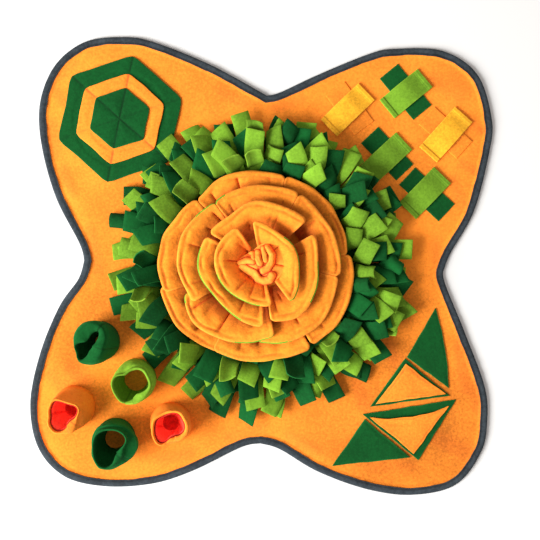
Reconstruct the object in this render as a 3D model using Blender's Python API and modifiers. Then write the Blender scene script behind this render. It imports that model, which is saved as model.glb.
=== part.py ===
"""Snuffle mat: a four-lobed felt mat with a fleece rosette, a strip fringe, cups, pockets and straps.

Metres, +Z up. The origin is on the floor under the middle of the mat's outline.
"""

import math
import random
from collections import namedtuple

import bmesh
import bpy
from mathutils import Matrix, Vector
from mathutils.bvhtree import BVHTree

MM = 0.001
TOUCH_GAP = 0.3 * MM  # between pieces that are sewn to each other

# ---------------------------------------------------------------- driving sizes
PANEL_THICKNESS = 3.0 * MM
PANEL_RIM_LIFT = 1.25 * MM  # the panel's rim rides on the tape folded under it
OUTLINE_SAMPLES_PER_LOBE = 20
OUTLINE_DENSE_STEPS = 200  # steps that measure the length of a lobe's curve
MITRE_LIMIT = 0.5  # least cosine that an inset divides by at a sharp corner

TAPE_WIDTH = 11.0 * MM
TAPE_THICKNESS = 0.95 * MM
TAPE_CORNER = 1.2 * MM

SHEET_THICKNESS = 1.5 * MM
DRAPE_CLEARANCE = 2.0 * MM

ROSETTE_CENTRE = Vector((0.000, 0.005))
PETAL_THICKNESS = 3.0 * MM
PETAL_ANGLE_STEP = math.radians(10.0)

FRINGE_CENTRE = Vector((0.004, 0.005))
FRINGE_SECTORS = 8
FRINGE_SEED = 41
BACKING_STEPS = 6
BACKING_INNER_RADIUS = 0.127
BACKING_OUTER_RADIUS = 0.189
BACKING_END_GAP = 0.5 * MM  # from a sector's end to its border, at the inner radius
STRIP_THICKNESS = 2.0 * MM
STRIP_WIDTH = 30.0 * MM
STRIP_CLEARANCE = 0.9 * MM
STRIP_REACH = 0.246

CUP_SEGMENTS = 20
CUP_WALL = 2.6 * MM

ON_MAT = PANEL_THICKNESS + TOUCH_GAP  # height at which a sewn-on piece starts

# ---------------------------------------------------------------- colours (linear)
Cloth = namedtuple("Cloth", "name colour roughness")
MAT_ORANGE = Cloth("mat_orange_felt", (1.0, 0.37, 0.035), 0.95)
BINDING_GREY = Cloth("binding_grey_fleece", (0.055, 0.09, 0.105), 0.9)
DARK_GREEN = Cloth("dark_green_felt", (0.006, 0.14, 0.028), 0.95)
LIME = Cloth("lime_felt", (0.26, 0.56, 0.03), 0.95)
YELLOW = Cloth("yellow_felt", (1.0, 0.62, 0.035), 0.95)
PETAL_ORANGE = Cloth("petal_orange_fleece", (1.0, 0.36, 0.035), 0.95)
LINING_RED = Cloth("lining_red_fleece", (0.90, 0.05, 0.025), 0.9)

# ---------------------------------------------------------------- mat outline
# Each lobe runs counter-clockwise from one notch to the next: points (x, y) in millimetres.
LOBES_MM = (
    ((9, 259), (-77, 306), (-165, 341), (-211, 348), (-267, 341), (-311, 308),
     (-335, 254), (-335, 191), (-313, 107), (-276, 34), (-269, 8)),
    ((-269, 8), (-278, -20), (-307, -62), (-336, -133), (-351, -209), (-339, -276),
     (-299, -320), (-237, -335), (-165, -331), (-103, -311), (-31, -276), (-1, -270)),
    ((-1, -270), (29, -279), (87, -313), (163, -340), (233, -348), (297, -332),
     (335, -282), (344, -235), (340, -183), (309, -99), (279, -24), (279, -3)),
    ((279, -3), (289, 21), (324, 84), (347, 172), (351, 223), (329, 291),
     (276, 327), (201, 330), (163, 322), (87, 291), (29, 264), (9, 259)),
)

# ---------------------------------------------------------------- hexagon
HEXAGON_CENTRE = Vector((-0.2147, 0.2234))
HEXAGON_TURN = math.radians(18.5)
HEXAGON_PUFF = 1.2 * MM  # how far the cloth swells between two spokes
HEXAGON_RIM_SWELL = 0.4  # share of the puff that is left at a layer's edge
HEXAGON_HUB = 3.0 * MM
HEXAGON_MARGIN = 1.5 * MM  # the cloth lies flat this far outside the layer that covers it
HEXAGON_SEGMENTS = 24
HexLayer = namedtuple("HexLayer", "name radius cloth")
HEX_LAYERS = (
    HexLayer("hex_layer_large", 0.099, DARK_GREEN),
    HexLayer("hex_layer_middle", 0.071, MAT_ORANGE),
    HexLayer("hex_layer_small", 0.048, DARK_GREEN),
)

# ---------------------------------------------------------------- crossed straps
STRAP_WIDTH = 36.0 * MM
STRAP_REACH = 45.0 * MM  # from a strap's middle to its furthest corner
HEM_LENGTH = 7.5 * MM
HEM_STEP = 0.6 * MM  # length of the step down from a folded hem
STRAP_RAMP = 9.0 * MM
STRAP_CROWN = 0.8 * MM  # how much higher a bridging strap is at its middle
Strap = namedtuple("Strap", "x y angle length")
Cross = namedtuple("Cross", "over over_cloth under under_cloth")
CROSSES = (
    Cross(Strap(0.2196, 0.2618, 39.4, 0.075), LIME, Strap(0.2191, 0.2647, -50.8, 0.081), DARK_GREEN),
    Cross(Strap(0.1310, 0.2371, 43.9, 0.080), YELLOW, Strap(0.1340, 0.2397, -53.6, 0.075), MAT_ORANGE),
    Cross(Strap(0.2801, 0.1996, 48.4, 0.082), YELLOW, Strap(0.2797, 0.2025, -42.5, 0.078), MAT_ORANGE),
    Cross(Strap(0.1882, 0.1633, 43.0, 0.078), LIME, Strap(0.1912, 0.1708, -46.7, 0.078), DARK_GREEN),
    Cross(Strap(0.2484, 0.1110, 45.7, 0.076), LIME, Strap(0.2515, 0.1089, -42.9, 0.082), DARK_GREEN),
)

# ---------------------------------------------------------------- triangle pockets
TRIANGLE_SIDE_STEPS = 6
POCKET_GAPE = 3.0 * MM  # height of a flap's free edge over the cloth under it
POCKET_MIDWAY = 0.5  # share of the way from a triangle's edge to its middle
MIDWAY_GAPE = 0.4  # share of the gape that is left there
# bow: how far the side after the third corner swells outwards. gape_side: the free edge, or None.
Triangle = namedtuple("Triangle", "name corners bow gape_side level cloth")
TRIANGLES = (
    Triangle("pocket_a_base", ((0.2646, -0.0633), (0.2208, -0.1385), (0.2847, -0.1857)),
             0.004, None, 0, DARK_GREEN),
    Triangle("pocket_b_base", ((0.2182, -0.1403), (0.1649, -0.2138), (0.2865, -0.1972)),
             0.0, None, 0, DARK_GREEN),
    Triangle("pocket_b_flap", ((0.2191, -0.1481), (0.1735, -0.2095), (0.2803, -0.1942)),
             0.0, 1, 1, MAT_ORANGE),
    Triangle("pocket_c_base", ((0.1534, -0.2252), (0.2384, -0.2952), (0.2962, -0.2024)),
             0.0, None, 0, DARK_GREEN),
    Triangle("pocket_c_flap", ((0.1639, -0.2310), (0.2330, -0.2882), (0.2847, -0.2120)),
             0.0, 2, 1, MAT_ORANGE),
    Triangle("pocket_d_base", ((0.1569, -0.2323), (0.1071, -0.3039), (0.2262, -0.2908)),
             0.0, None, 0, DARK_GREEN),
)

# ---------------------------------------------------------------- cups
# lean: the rim's shift from the base. mouth: the opening's half axes, shift from the rim and turn.
Cup = namedtuple(
    "Cup", "name x y base_radius height lean rim rim_turn mouth mouth_shift mouth_turn cuff cloth"
)
CUPS = (
    Cup("cup_upper_green", -0.2452, -0.1140, 0.0300, 0.054, (-0.002, -0.006), (0.033, 0.029), -21,
        (0.024, 0.010), (-0.006, 0.004), 66, 0.0, DARK_GREEN),
    Cup("cup_lime", -0.1903, -0.1714, 0.0310, 0.052, (0.004, -0.006), (0.0345, 0.0325), 20,
        (0.0280, 0.0255), (0.0, 0.001), 55, 0.0, LIME),
    Cup("cup_left_orange", -0.2842, -0.2131, 0.0315, 0.054, (-0.004, -0.007), (0.0275, 0.0255), 35,
        (0.0210, 0.0195), (-0.002, 0.001), 60, 0.0, MAT_ORANGE),
    Cup("cup_lower_green", -0.2216, -0.2613, 0.0305, 0.056, (0.003, -0.006), (0.0330, 0.0300), 65,
        (0.0275, 0.0225), (-0.001, 0.0), 65, 0.020, DARK_GREEN),
    Cup("cup_right_orange", -0.1381, -0.2372, 0.0305, 0.050, (0.005, -0.001), (0.0290, 0.0265), -30,
        (0.0220, 0.0200), (0.0, 0.0), 40, 0.0, MAT_ORANGE),
)
LINED_CUPS = ("cup_left_orange", "cup_right_orange")
LINING_THICKNESS = 1.2 * MM
LINING_RIM_SHARE = 0.70  # the lining ends at this share of the cup's height
CUP_BELLY = 0.03  # how far the wall swells at half height, as a share of its radius
BELLY_SHARE = 0.45  # shares of the cup's height: its belly, its shoulder, and where the roll starts
SHOULDER_SHARE = 0.80
ROLL_SHARE = 0.93
INNER_ROLL_SHARE = 0.72  # where the rolled rim ends inside
CUP_ROLL = 3.0 * MM  # how far the mouth lies below the crest of the rolled rim

# ---------------------------------------------------------------- rosette
# rim: radii at equal steps from start to end. tuck: how far each end lies over (+) or under (-) its ring.
Ring = namedtuple("Ring", "base_radius rim_height petals")
Petal = namedtuple("Petal", "name start end rim tuck_start tuck_end")
RINGS = (
    Ring(0.098, 0.030, (
        Petal("petal_e1", 135.7, 74.3, (0.134, 0.140, 0.137, 0.133), 0, 0),
        Petal("petal_e2", 73.7, 5.3, (0.135, 0.135, 0.132, 0.130), 0, 0),
        Petal("petal_e3", 4.7, -58, (0.135, 0.141, 0.146, 0.145), 0, 0),
        Petal("petal_e4", 136.3, 197, (0.136, 0.143, 0.152, 0.154, 0.150), 0, 0.003),
        Petal("petal_e5", 194, 244, (0.156, 0.157, 0.150), -0.003, -0.003),
        Petal("petal_e6", 241, 300, (0.150, 0.148, 0.146, 0.148), 0.003, 0),
    )),
    Ring(0.068, 0.043, (
        Petal("petal_d1", 127.7, 61.4, (0.113, 0.114, 0.115), 0, 0),
        Petal("petal_d2", 60.6, -9.6, (0.1145, 0.1136, 0.1174), 0, 0),
        Petal("petal_d3", -10.4, -92, (0.1155, 0.1194, 0.1242, 0.1251, 0.1232, 0.1184), 0, -0.004),
        Petal("petal_d4", 128.3, 210, (0.1136, 0.1174, 0.1232, 0.1232, 0.1203, 0.1165), 0, 0.004),
        Petal("petal_d5", 203, 280, (0.126, 0.1328, 0.128, 0.1194, 0.1112), -0.004, 0.004),
    )),
    Ring(0.040, 0.054, (
        Petal("petal_c1", 150, 43, (0.0876, 0.0819, 0.0885, 0.0876, 0.0904), 0, 0),
        Petal("petal_c2", 28, -80, (0.0876, 0.0838, 0.0895, 0.0952, 0.0857), 0, 0),
        Petal("petal_c3", 155, 272, (0.0895, 0.0914, 0.0838, 0.0876, 0.0923), 0, 0),
    )),
    Ring(0.014, 0.062, (
        Petal("petal_b1", 101, -53, (0.062, 0.051, 0.054, 0.058, 0.073), 0, 0),
        Petal("petal_b2", 125, 284, (0.063, 0.067, 0.065, 0.062, 0.065), 0, 0),
    )),
)
PETAL_STATIONS = (0.0, 0.12, 0.32, 0.6, 0.86, 1.0)  # from the sewn base to the rim
PETAL_FLARE = 1.3  # how much more a petal leans out near its rim than at its base
PLEAT_HEIGHT = 1.6 * MM
PLEAT_SPACING = 0.028

KNOT_FOLDS = 7
KNOT_SEGMENTS = 35
KNOT_TURN = math.radians(20.0)
KNOT_UNEVEN = 0.3  # how much the folds differ in depth round the knot
# height, mean radius, fold depth as a share of the radius, twist in degrees
KnotLevel = namedtuple("KnotLevel", "height radius fold twist")
KNOT_LEVELS = (
    KnotLevel(ON_MAT, 0.0065, 0.00, 0),
    KnotLevel(0.034, 0.0065, 0.00, 0),
    KnotLevel(0.047, 0.0200, 0.10, 0),
    KnotLevel(0.053, 0.0255, 0.22, 6),
    KnotLevel(0.0575, 0.0235, 0.26, 14),
    KnotLevel(0.0605, 0.0150, 0.22, 30),
    KnotLevel(0.0585, 0.0060, 0.10, 50),
)

# ---------------------------------------------------------------- fringe strips
# Each row of roots: mean radius, scatter about it, strips in a sector, then the ranges of the pitch at
# the root, the pitch at the tip (degrees) and the length.
Row = namedtuple("Row", "root_radius scatter count first_pitch last_pitch length")
STRIP_ROWS = (
    Row(0.182, 0.003, 4, (12, 28), (-28, 0), (0.050, 0.064)),
    Row(0.171, 0.003, 3, (22, 38), (-30, 5), (0.050, 0.066)),
    Row(0.160, 0.003, 4, (32, 48), (-35, 5), (0.050, 0.066)),
    Row(0.149, 0.003, 3, (40, 56), (-35, 10), (0.052, 0.066)),
    Row(0.138, 0.003, 4, (42, 58), (-30, 15), (0.056, 0.070)),
    Row(0.158, 0.026, 3, (50, 76), (-50, 20), (0.040, 0.056)),
)
STRIP_STATIONS = 4
STRIP_TRIES = 200
STRIP_SWERVE = 45  # most degrees that a strip turns sideways on its way
STRIP_ROLL = 38  # most degrees that it rolls about its own length
STRIP_SKEW = 4  # most degrees that it leaves its root away from straight outwards
STRIP_WIDTH_RANGE = (0.93, 1.05)
ROOT_SPACING = 2.0 * MM  # least gap between neighbouring roots
ROOT_HEIGHT = ON_MAT + 1.0 * MM  # inside the backing


# ---------------------------------------------------------------- mesh helpers
def polar(centre, radius, angle):
    return Vector((centre[0] + radius * math.cos(angle), centre[1] + radius * math.sin(angle)))


def sample(values, position):
    """The value at a position from 0 to 1 along a row of values, on a smooth curve through them."""
    spans = len(values) - 1
    index = min(int(position * spans), spans - 1)
    t = position * spans - index
    before = values[max(index - 1, 0)]
    after = values[min(index + 2, spans)]
    a, b = values[index], values[index + 1]
    return 0.5 * (
        2 * a + (b - before) * t + (2 * before - 5 * a + 4 * b - after) * t**2
        + (3 * a - before - 3 * b + after) * t**3
    )


def material_of(cloth):
    found = bpy.data.materials.get(cloth.name)
    if found:
        return found
    material = bpy.data.materials.new(cloth.name)
    material.use_nodes = True
    shader = material.node_tree.nodes["Principled BSDF"]
    shader.inputs["Base Color"].default_value = (*cloth.colour, 1.0)
    shader.inputs["Roughness"].default_value = cloth.roughness
    shader.inputs["Metallic"].default_value = 0.0
    material.diffuse_color = (*cloth.colour, 1.0)
    return material


def object_of(name, bm, cloth, collection):
    bmesh.ops.recalc_face_normals(bm, faces=bm.faces)
    mesh = bpy.data.meshes.new(name)
    bm.to_mesh(mesh)
    bm.free()
    mesh.materials.append(material_of(cloth))
    mesh.shade_smooth()
    mesh.set_sharp_from_angle(angle=math.radians(35))
    piece = bpy.data.objects.new(name, mesh)
    collection.objects.link(piece)
    return piece


def loft(bm, sections, ring_closed=False):
    """Skins closed sections of equal point counts. The ends are capped, or joined where ring_closed."""
    rows = [[bm.verts.new(point) for point in section] for section in sections]
    pairs = list(zip(rows, rows[1:]))
    if ring_closed:
        pairs.append((rows[-1], rows[0]))
    for lower, upper in pairs:
        for i in range(len(lower)):
            j = (i + 1) % len(lower)
            bm.faces.new((lower[i], lower[j], upper[j], upper[i]))
    if not ring_closed:
        bm.faces.new(rows[0])
        bm.faces.new(rows[-1])


def grid_sheet(bm, rows):
    """An open sheet through rows of points, made from a plain grid."""
    made = bmesh.ops.create_grid(bm, x_segments=len(rows[0]) - 1, y_segments=len(rows) - 1, size=0.5)
    for vert in made["verts"]:
        column = round((vert.co.x + 0.5) * (len(rows[0]) - 1))
        row = round((vert.co.y + 0.5) * (len(rows) - 1))
        vert.co = rows[row][column]


def solidify(piece, thickness):
    modifier = piece.modifiers.new("Thickness", "SOLIDIFY")
    modifier.thickness = thickness
    modifier.offset = 0.0
    modifier.use_even_offset = True


# ---------------------------------------------------------------- mat and binding
def lobe_points(lobe):
    """Equal steps along the smooth curve through one lobe's points, its last point left out."""
    places = [k / OUTLINE_DENSE_STEPS for k in range(OUTLINE_DENSE_STEPS + 1)]
    dense = [
        Vector((sample([p[0] for p in lobe], place), sample([p[1] for p in lobe], place))) * MM
        for place in places
    ]
    lengths = [0.0]
    for a, b in zip(dense, dense[1:]):
        lengths.append(lengths[-1] + (b - a).length)
    points = []
    for k in range(OUTLINE_SAMPLES_PER_LOBE):
        wanted = lengths[-1] * k / OUTLINE_SAMPLES_PER_LOBE
        i = max(n for n, length in enumerate(lengths) if length <= wanted)
        points.append(dense[i].lerp(dense[i + 1], (wanted - lengths[i]) / (lengths[i + 1] - lengths[i])))
    return points


def mat_outline():
    points = [point for lobe in LOBES_MM for point in lobe_points(lobe)]
    middle = Vector((
        (min(p.x for p in points) + max(p.x for p in points)) / 2,
        (min(p.y for p in points) + max(p.y for p in points)) / 2,
    ))
    return [point - middle for point in points]


def inset(outline, distance, height):
    """The outline moved inwards by a distance, at a height."""
    moved = []
    for i, point in enumerate(outline):
        before = (point - outline[i - 1]).normalized()
        after = (outline[(i + 1) % len(outline)] - point).normalized()
        along = (before + after).normalized()
        step = distance / max(along.dot(before), MITRE_LIMIT)
        moved.append(Vector((point.x - along.y * step, point.y + along.x * step, height)))
    return moved


def make_panel(outline, collection):
    edge = TAPE_THICKNESS + TOUCH_GAP
    under_tape = TAPE_WIDTH + 0.5 * MM
    flat = TAPE_WIDTH + 3.5 * MM
    low, high = PANEL_RIM_LIFT, PANEL_RIM_LIFT + PANEL_THICKNESS
    profile = (
        (flat, 0.0), (under_tape, low), (edge, low),
        (edge, high), (under_tape, high), (flat, PANEL_THICKNESS),
    )
    bm = bmesh.new()
    loft(bm, [inset(outline, distance, height) for distance, height in profile])
    return object_of("mat_base", bm, MAT_ORANGE, collection)


def make_binding(outline, collection):
    top = 2 * TAPE_THICKNESS + 2 * TOUCH_GAP + PANEL_THICKNESS
    inner, corner = TAPE_THICKNESS, TAPE_CORNER
    profile = (
        (TAPE_WIDTH, 0.0), (corner, 0.0), (0.0, corner),
        (0.0, top - corner), (corner, top), (TAPE_WIDTH, top),
        (TAPE_WIDTH, top - inner), (inner, top - inner), (inner, inner), (TAPE_WIDTH, inner),
    )
    bm = bmesh.new()
    loft(bm, [inset(outline, distance, height) for distance, height in profile], ring_closed=True)
    return object_of("edge_binding", bm, BINDING_GREY, collection)


# ---------------------------------------------------------------- hexagon
def hexagon_radius(radius, angle):
    within = (angle - HEXAGON_TURN) % math.radians(60) - math.radians(30)
    return radius * math.cos(math.radians(30)) / math.cos(within)


def hexagon_section(radius, height, swelling):
    section = []
    for k in range(HEXAGON_SEGMENTS):
        angle = HEXAGON_TURN + math.tau * k / HEXAGON_SEGMENTS
        point = polar(HEXAGON_CENTRE, hexagon_radius(radius, angle), angle)
        swell = swelling * HEXAGON_PUFF * abs(math.sin(3 * (angle - HEXAGON_TURN)))
        section.append(Vector((point.x, point.y, height + swell)))
    return section


def make_hexagon(collection):
    """Each layer lies flat on the one below, and swells where no other layer covers it."""
    covered_radii = [layer.radius + HEXAGON_MARGIN for layer in HEX_LAYERS[1:]] + [HEXAGON_HUB]
    for level, (layer, covered) in enumerate(zip(HEX_LAYERS, covered_radii)):
        low = ON_MAT + level * (SHEET_THICKNESS + TOUCH_GAP)
        high = low + SHEET_THICKNESS
        bm = bmesh.new()
        loft(bm, [
            hexagon_section(layer.radius, low, 0.0),
            hexagon_section(layer.radius, high, HEXAGON_RIM_SWELL),
            hexagon_section((layer.radius + covered) / 2, high, 1.0),
            hexagon_section(covered, high, 0.0),
        ])
        object_of(layer.name, bm, layer.cloth, collection)


# ---------------------------------------------------------------- crossed straps
def strap_section(strap, along, low, high, width):
    """A rectangle across the strap, at a distance along it from its middle."""
    turn = Matrix.Rotation(math.radians(strap.angle), 3, "Z")
    place = Vector((strap.x, strap.y, 0.0))
    corners = ((-width / 2, low), (width / 2, low), (width / 2, high), (-width / 2, high))
    return [place + turn @ Vector((along, across, height)) for across, height in corners]


def make_strap(name, strap, stations, cloth, collection):
    bm = bmesh.new()
    loft(bm, [strap_section(strap, along, low, high, STRAP_WIDTH) for along, low, high in stations])
    return object_of(name, bm, cloth, collection)


def over_strap_stations(strap):
    """Hemmed ends lie on the mat, and the middle bridges the strap below."""
    half = strap.length / 2
    hem = half - HEM_LENGTH
    flat = hem - STRAP_RAMP
    hem_top = ON_MAT + 2 * SHEET_THICKNESS
    bridge = ON_MAT + SHEET_THICKNESS + DRAPE_CLEARANCE
    crown = bridge + STRAP_CROWN
    side = [
        (half, ON_MAT, hem_top),
        (hem, ON_MAT, hem_top),
        (hem - HEM_STEP, ON_MAT, hem_top - SHEET_THICKNESS / 2),
        (flat, bridge, bridge + SHEET_THICKNESS),
    ]
    middle = [(0.0, crown, crown + SHEET_THICKNESS)]
    mirrored = [(-along, low, high) for along, low, high in side]
    return mirrored + middle + side[::-1]


def make_straps(collection):
    for number, cross in enumerate(CROSSES, start=1):
        half = cross.under.length / 2
        flat = [(-half, ON_MAT, ON_MAT + SHEET_THICKNESS), (half, ON_MAT, ON_MAT + SHEET_THICKNESS)]
        make_strap(f"cross_{number}_under", cross.under, flat, cross.under_cloth, collection)
        stations = over_strap_stations(cross.over)
        make_strap(f"cross_{number}_over", cross.over, stations, cross.over_cloth, collection)


# ---------------------------------------------------------------- triangle pockets
def triangle_section(triangle, shrink, height, gape):
    """The triangle's outline drawn towards its middle by a share, its free side raised."""
    corners = [Vector(corner) for corner in triangle.corners]
    middle = sum(corners, Vector((0.0, 0.0))) / 3
    section = []
    for side in range(3):
        start, end = corners[side], corners[(side + 1) % 3]
        outward = Vector((end.y - start.y, start.x - end.x)).normalized()
        for k in range(TRIANGLE_SIDE_STEPS):
            t = k / TRIANGLE_SIDE_STEPS
            hump = math.sin(math.pi * t)
            bow = triangle.bow * hump if side == 2 else 0.0
            raised = gape * hump if side == triangle.gape_side else 0.0
            flat = (start.lerp(end, t) + outward * bow).lerp(middle, shrink)
            section.append(Vector((flat.x, flat.y, height + raised)))
    return section


def make_triangles(collection):
    for triangle in TRIANGLES:
        low = ON_MAT + triangle.level * (SHEET_THICKNESS + TOUCH_GAP)
        high = low + SHEET_THICKNESS
        bm = bmesh.new()
        loft(bm, [
            triangle_section(triangle, POCKET_MIDWAY, low, POCKET_GAPE * MIDWAY_GAPE),
            triangle_section(triangle, 0.0, low, POCKET_GAPE),
            triangle_section(triangle, 0.0, high, POCKET_GAPE),
            triangle_section(triangle, POCKET_MIDWAY, high, POCKET_GAPE * MIDWAY_GAPE),
        ])
        object_of(triangle.name, bm, triangle.cloth, collection)


# ---------------------------------------------------------------- cups
def ellipse_section(centre, half_axes, turn, height):
    section = []
    rotation = Matrix.Rotation(math.radians(turn), 2)
    for k in range(CUP_SEGMENTS):
        angle = math.tau * k / CUP_SEGMENTS - math.radians(turn)
        flat = centre + rotation @ Vector((half_axes[0] * math.cos(angle), half_axes[1] * math.sin(angle)))
        section.append(Vector((flat.x, flat.y, height)))
    return section


def cup_outer(cup, share, grow=0.0):
    """Centre and half axes of the cup's wall at a share of its height."""
    centre = Vector((cup.x, cup.y)) + Vector(cup.lean) * share
    belly = cup.base_radius * CUP_BELLY * math.sin(math.pi * share)
    axes = [cup.base_radius + (axis - cup.base_radius) * share**2 + belly + grow for axis in cup.rim]
    return centre, axes


def make_cup(cup, collection):
    def wall(share, grow):
        centre, axes = cup_outer(cup, share, grow)
        return ellipse_section(centre, axes, cup.rim_turn, ON_MAT + (cup.height - ON_MAT) * share)

    mouth_centre = Vector((cup.x, cup.y)) + Vector(cup.lean) + Vector(cup.mouth_shift)
    sections = [wall(0.0, 0.0), wall(BELLY_SHARE, 0.0)]
    if cup.cuff:
        fold = 1.0 - cup.cuff / cup.height
        sections += [wall(fold, 0.0), wall(fold, CUP_WALL), wall(ROLL_SHARE, CUP_WALL)]
    else:
        sections += [wall(SHOULDER_SHARE, 0.0), wall(ROLL_SHARE, 0.0)]
    crest = [(outer + inner) / 2 for outer, inner in zip(cup.rim, cup.mouth)]
    crest_centre = Vector((cup.x, cup.y)) + Vector(cup.lean) + Vector(cup.mouth_shift) / 2
    sections.append(ellipse_section(crest_centre, crest, cup.rim_turn, cup.height))
    sections.append(ellipse_section(mouth_centre, cup.mouth, cup.mouth_turn, cup.height - CUP_ROLL))
    sections += [wall(share, -CUP_WALL) for share in (INNER_ROLL_SHARE, BELLY_SHARE, 0.0)]
    bm = bmesh.new()
    loft(bm, sections, ring_closed=True)
    return object_of(cup.name, bm, cup.cloth, collection)


def make_lining(cup, collection):
    """A pouch inside the cup: a wall and a floor."""
    def wall(share, grow, height):
        centre, axes = cup_outer(cup, share, grow)
        return ellipse_section(centre, axes, cup.rim_turn, height)

    outside = -CUP_WALL - 2 * TOUCH_GAP
    inside = outside - LINING_THICKNESS
    rim_height = ON_MAT + (cup.height - ON_MAT) * LINING_RIM_SHARE
    middle = ON_MAT + (cup.height - ON_MAT) * BELLY_SHARE
    floor = ON_MAT + LINING_THICKNESS
    bm = bmesh.new()
    loft(bm, [
        wall(0.0, outside, ON_MAT),
        wall(BELLY_SHARE, outside, middle),
        wall(LINING_RIM_SHARE, outside, rim_height),
        wall(LINING_RIM_SHARE, inside, rim_height),
        wall(BELLY_SHARE, inside, middle),
        wall(0.0, inside, floor),
    ])
    return object_of(cup.name + "_lining", bm, LINING_RED, collection)


def make_cups(collection):
    pieces = []
    for cup in CUPS:
        pieces.append(make_cup(cup, collection))
        if cup.name in LINED_CUPS:
            pieces.append(make_lining(cup, collection))
    return pieces


# ---------------------------------------------------------------- rosette
def petal_foot(ring, petal):
    """Height of the sheet's middle at its base, so that its lower edge stands on the mat."""
    run = (max(petal.rim) - ring.base_radius) * PETAL_STATIONS[1] ** PETAL_FLARE
    rise = (ring.rim_height - ON_MAT) * (1.0 - (1.0 - PETAL_STATIONS[1]) ** 2)
    return ON_MAT + PETAL_THICKNESS / 2 * run / math.hypot(run, rise)


def petal_rows(ring, petal):
    """Rows of points from the sewn base to the rim. The ends tuck over or under their neighbours."""
    start, end = math.radians(petal.start), math.radians(petal.end)
    low = petal_foot(ring, petal)
    steps = max(5, round(abs(end - start) / PETAL_ANGLE_STEP))
    pleats = max(2, round(abs(end - start) * petal.rim[0] / PLEAT_SPACING))
    rows = []
    for station in PETAL_STATIONS:
        row = []
        for k in range(steps + 1):
            u = k / steps
            angle = start + (end - start) * u
            tuck = petal.tuck_start + (petal.tuck_end - petal.tuck_start) * u
            base = ring.base_radius - tuck
            radius = base + (sample(petal.rim, u) - base) * station**PETAL_FLARE
            rise = 1.0 - (1.0 - station) ** 2
            height = low + (ring.rim_height + tuck - low) * rise
            height += PLEAT_HEIGHT * math.sin(math.tau * pleats * u) * math.sin(math.pi * station)
            point = polar(ROSETTE_CENTRE, radius, angle)
            row.append(Vector((point.x, point.y, height)))
        rows.append(row)
    return rows


def make_petals(collection):
    pieces = []
    for ring in RINGS:
        for petal in ring.petals:
            bm = bmesh.new()
            grid_sheet(bm, petal_rows(ring, petal))
            piece = object_of(petal.name, bm, PETAL_ORANGE, collection)
            solidify(piece, PETAL_THICKNESS)
            pieces.append(piece)
    return pieces


def make_knot(collection):
    sections = []
    for level in KNOT_LEVELS:
        section = []
        for k in range(KNOT_SEGMENTS):
            angle = math.tau * k / KNOT_SEGMENTS
            fold = level.fold * math.cos(KNOT_FOLDS * angle) * (1.0 + KNOT_UNEVEN * math.sin(2 * angle))
            point = polar(
                ROSETTE_CENTRE, level.radius * (1.0 + fold), angle + KNOT_TURN + math.radians(level.twist)
            )
            section.append(Vector((point.x, point.y, level.height)))
        sections.append(section)
    bm = bmesh.new()
    loft(bm, sections)
    return object_of("rosette_knot", bm, PETAL_ORANGE, collection)


# ---------------------------------------------------------------- fringe
def strip_rows(root, heading, first_pitch, last_pitch, length, width, swerve, roll):
    """Two edges of a strip that leaves its root at a heading and bends, swerves and rolls on its way."""
    place = Vector((root.x, root.y, ROOT_HEIGHT))
    step = length / (STRIP_STATIONS - 1)
    left, right = [], []
    for k in range(STRIP_STATIONS):
        share = k / (STRIP_STATIONS - 1)
        pitch = math.radians(first_pitch + (last_pitch - first_pitch) * share)
        yaw = heading + math.radians(swerve) * share
        forward = Vector((math.cos(pitch) * math.cos(yaw), math.cos(pitch) * math.sin(yaw), math.sin(pitch)))
        level = Vector((-math.sin(yaw), math.cos(yaw), 0.0))
        across = Matrix.Rotation(math.radians(roll) * share, 3, forward) @ level
        left.append(place + across * width / 2)
        right.append(place - across * width / 2)
        place = place + forward * step
    return [left, right]


def thick_tree(rows, thickness):
    """A search tree of the strip with a given thickness, to test for touching."""
    left, right = rows
    points, faces = [], []
    for k in range(len(left)):
        ahead = (left[min(k + 1, len(left) - 1)] - left[max(k - 1, 0)]).normalized()
        normal = ahead.cross(left[k] - right[k]).normalized() * thickness / 2
        points += [left[k] - normal, right[k] - normal, right[k] + normal, left[k] + normal]
    for k in range(len(left) - 1):
        for i in range(4):
            j = (i + 1) % 4
            faces.append((4 * k + i, 4 * k + j, 4 * k + 4 + j, 4 * k + 4 + i))
    last = 4 * (len(left) - 1)
    faces.append((last, last + 1, last + 2, last + 3))
    return BVHTree.FromPolygons(points, faces)


def evaluated_tree(piece):
    return BVHTree.FromObject(piece, bpy.context.evaluated_depsgraph_get())


def floor_under(point):
    """The height that a strip stays above: the mat, or the hexagon and strap that it hangs over."""
    over_hexagon = (point.xy - HEXAGON_CENTRE).length < HEX_LAYERS[0].radius
    strap_middles = [Vector((cross.over.x, cross.over.y)) for cross in CROSSES]
    over_strap = any((point.xy - middle).length < STRAP_REACH for middle in strap_middles)
    if over_hexagon or over_strap:
        return ON_MAT + 3 * SHEET_THICKNESS + DRAPE_CLEARANCE + PANEL_THICKNESS
    return ON_MAT + STRIP_THICKNESS


def clear_of_mat(rows):
    return all(point.z > floor_under(point) for row in rows for point in row[1:])


def within_reach(rows):
    return all((point.xy - FRINGE_CENTRE).length < STRIP_REACH for row in rows for point in row)


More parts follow.
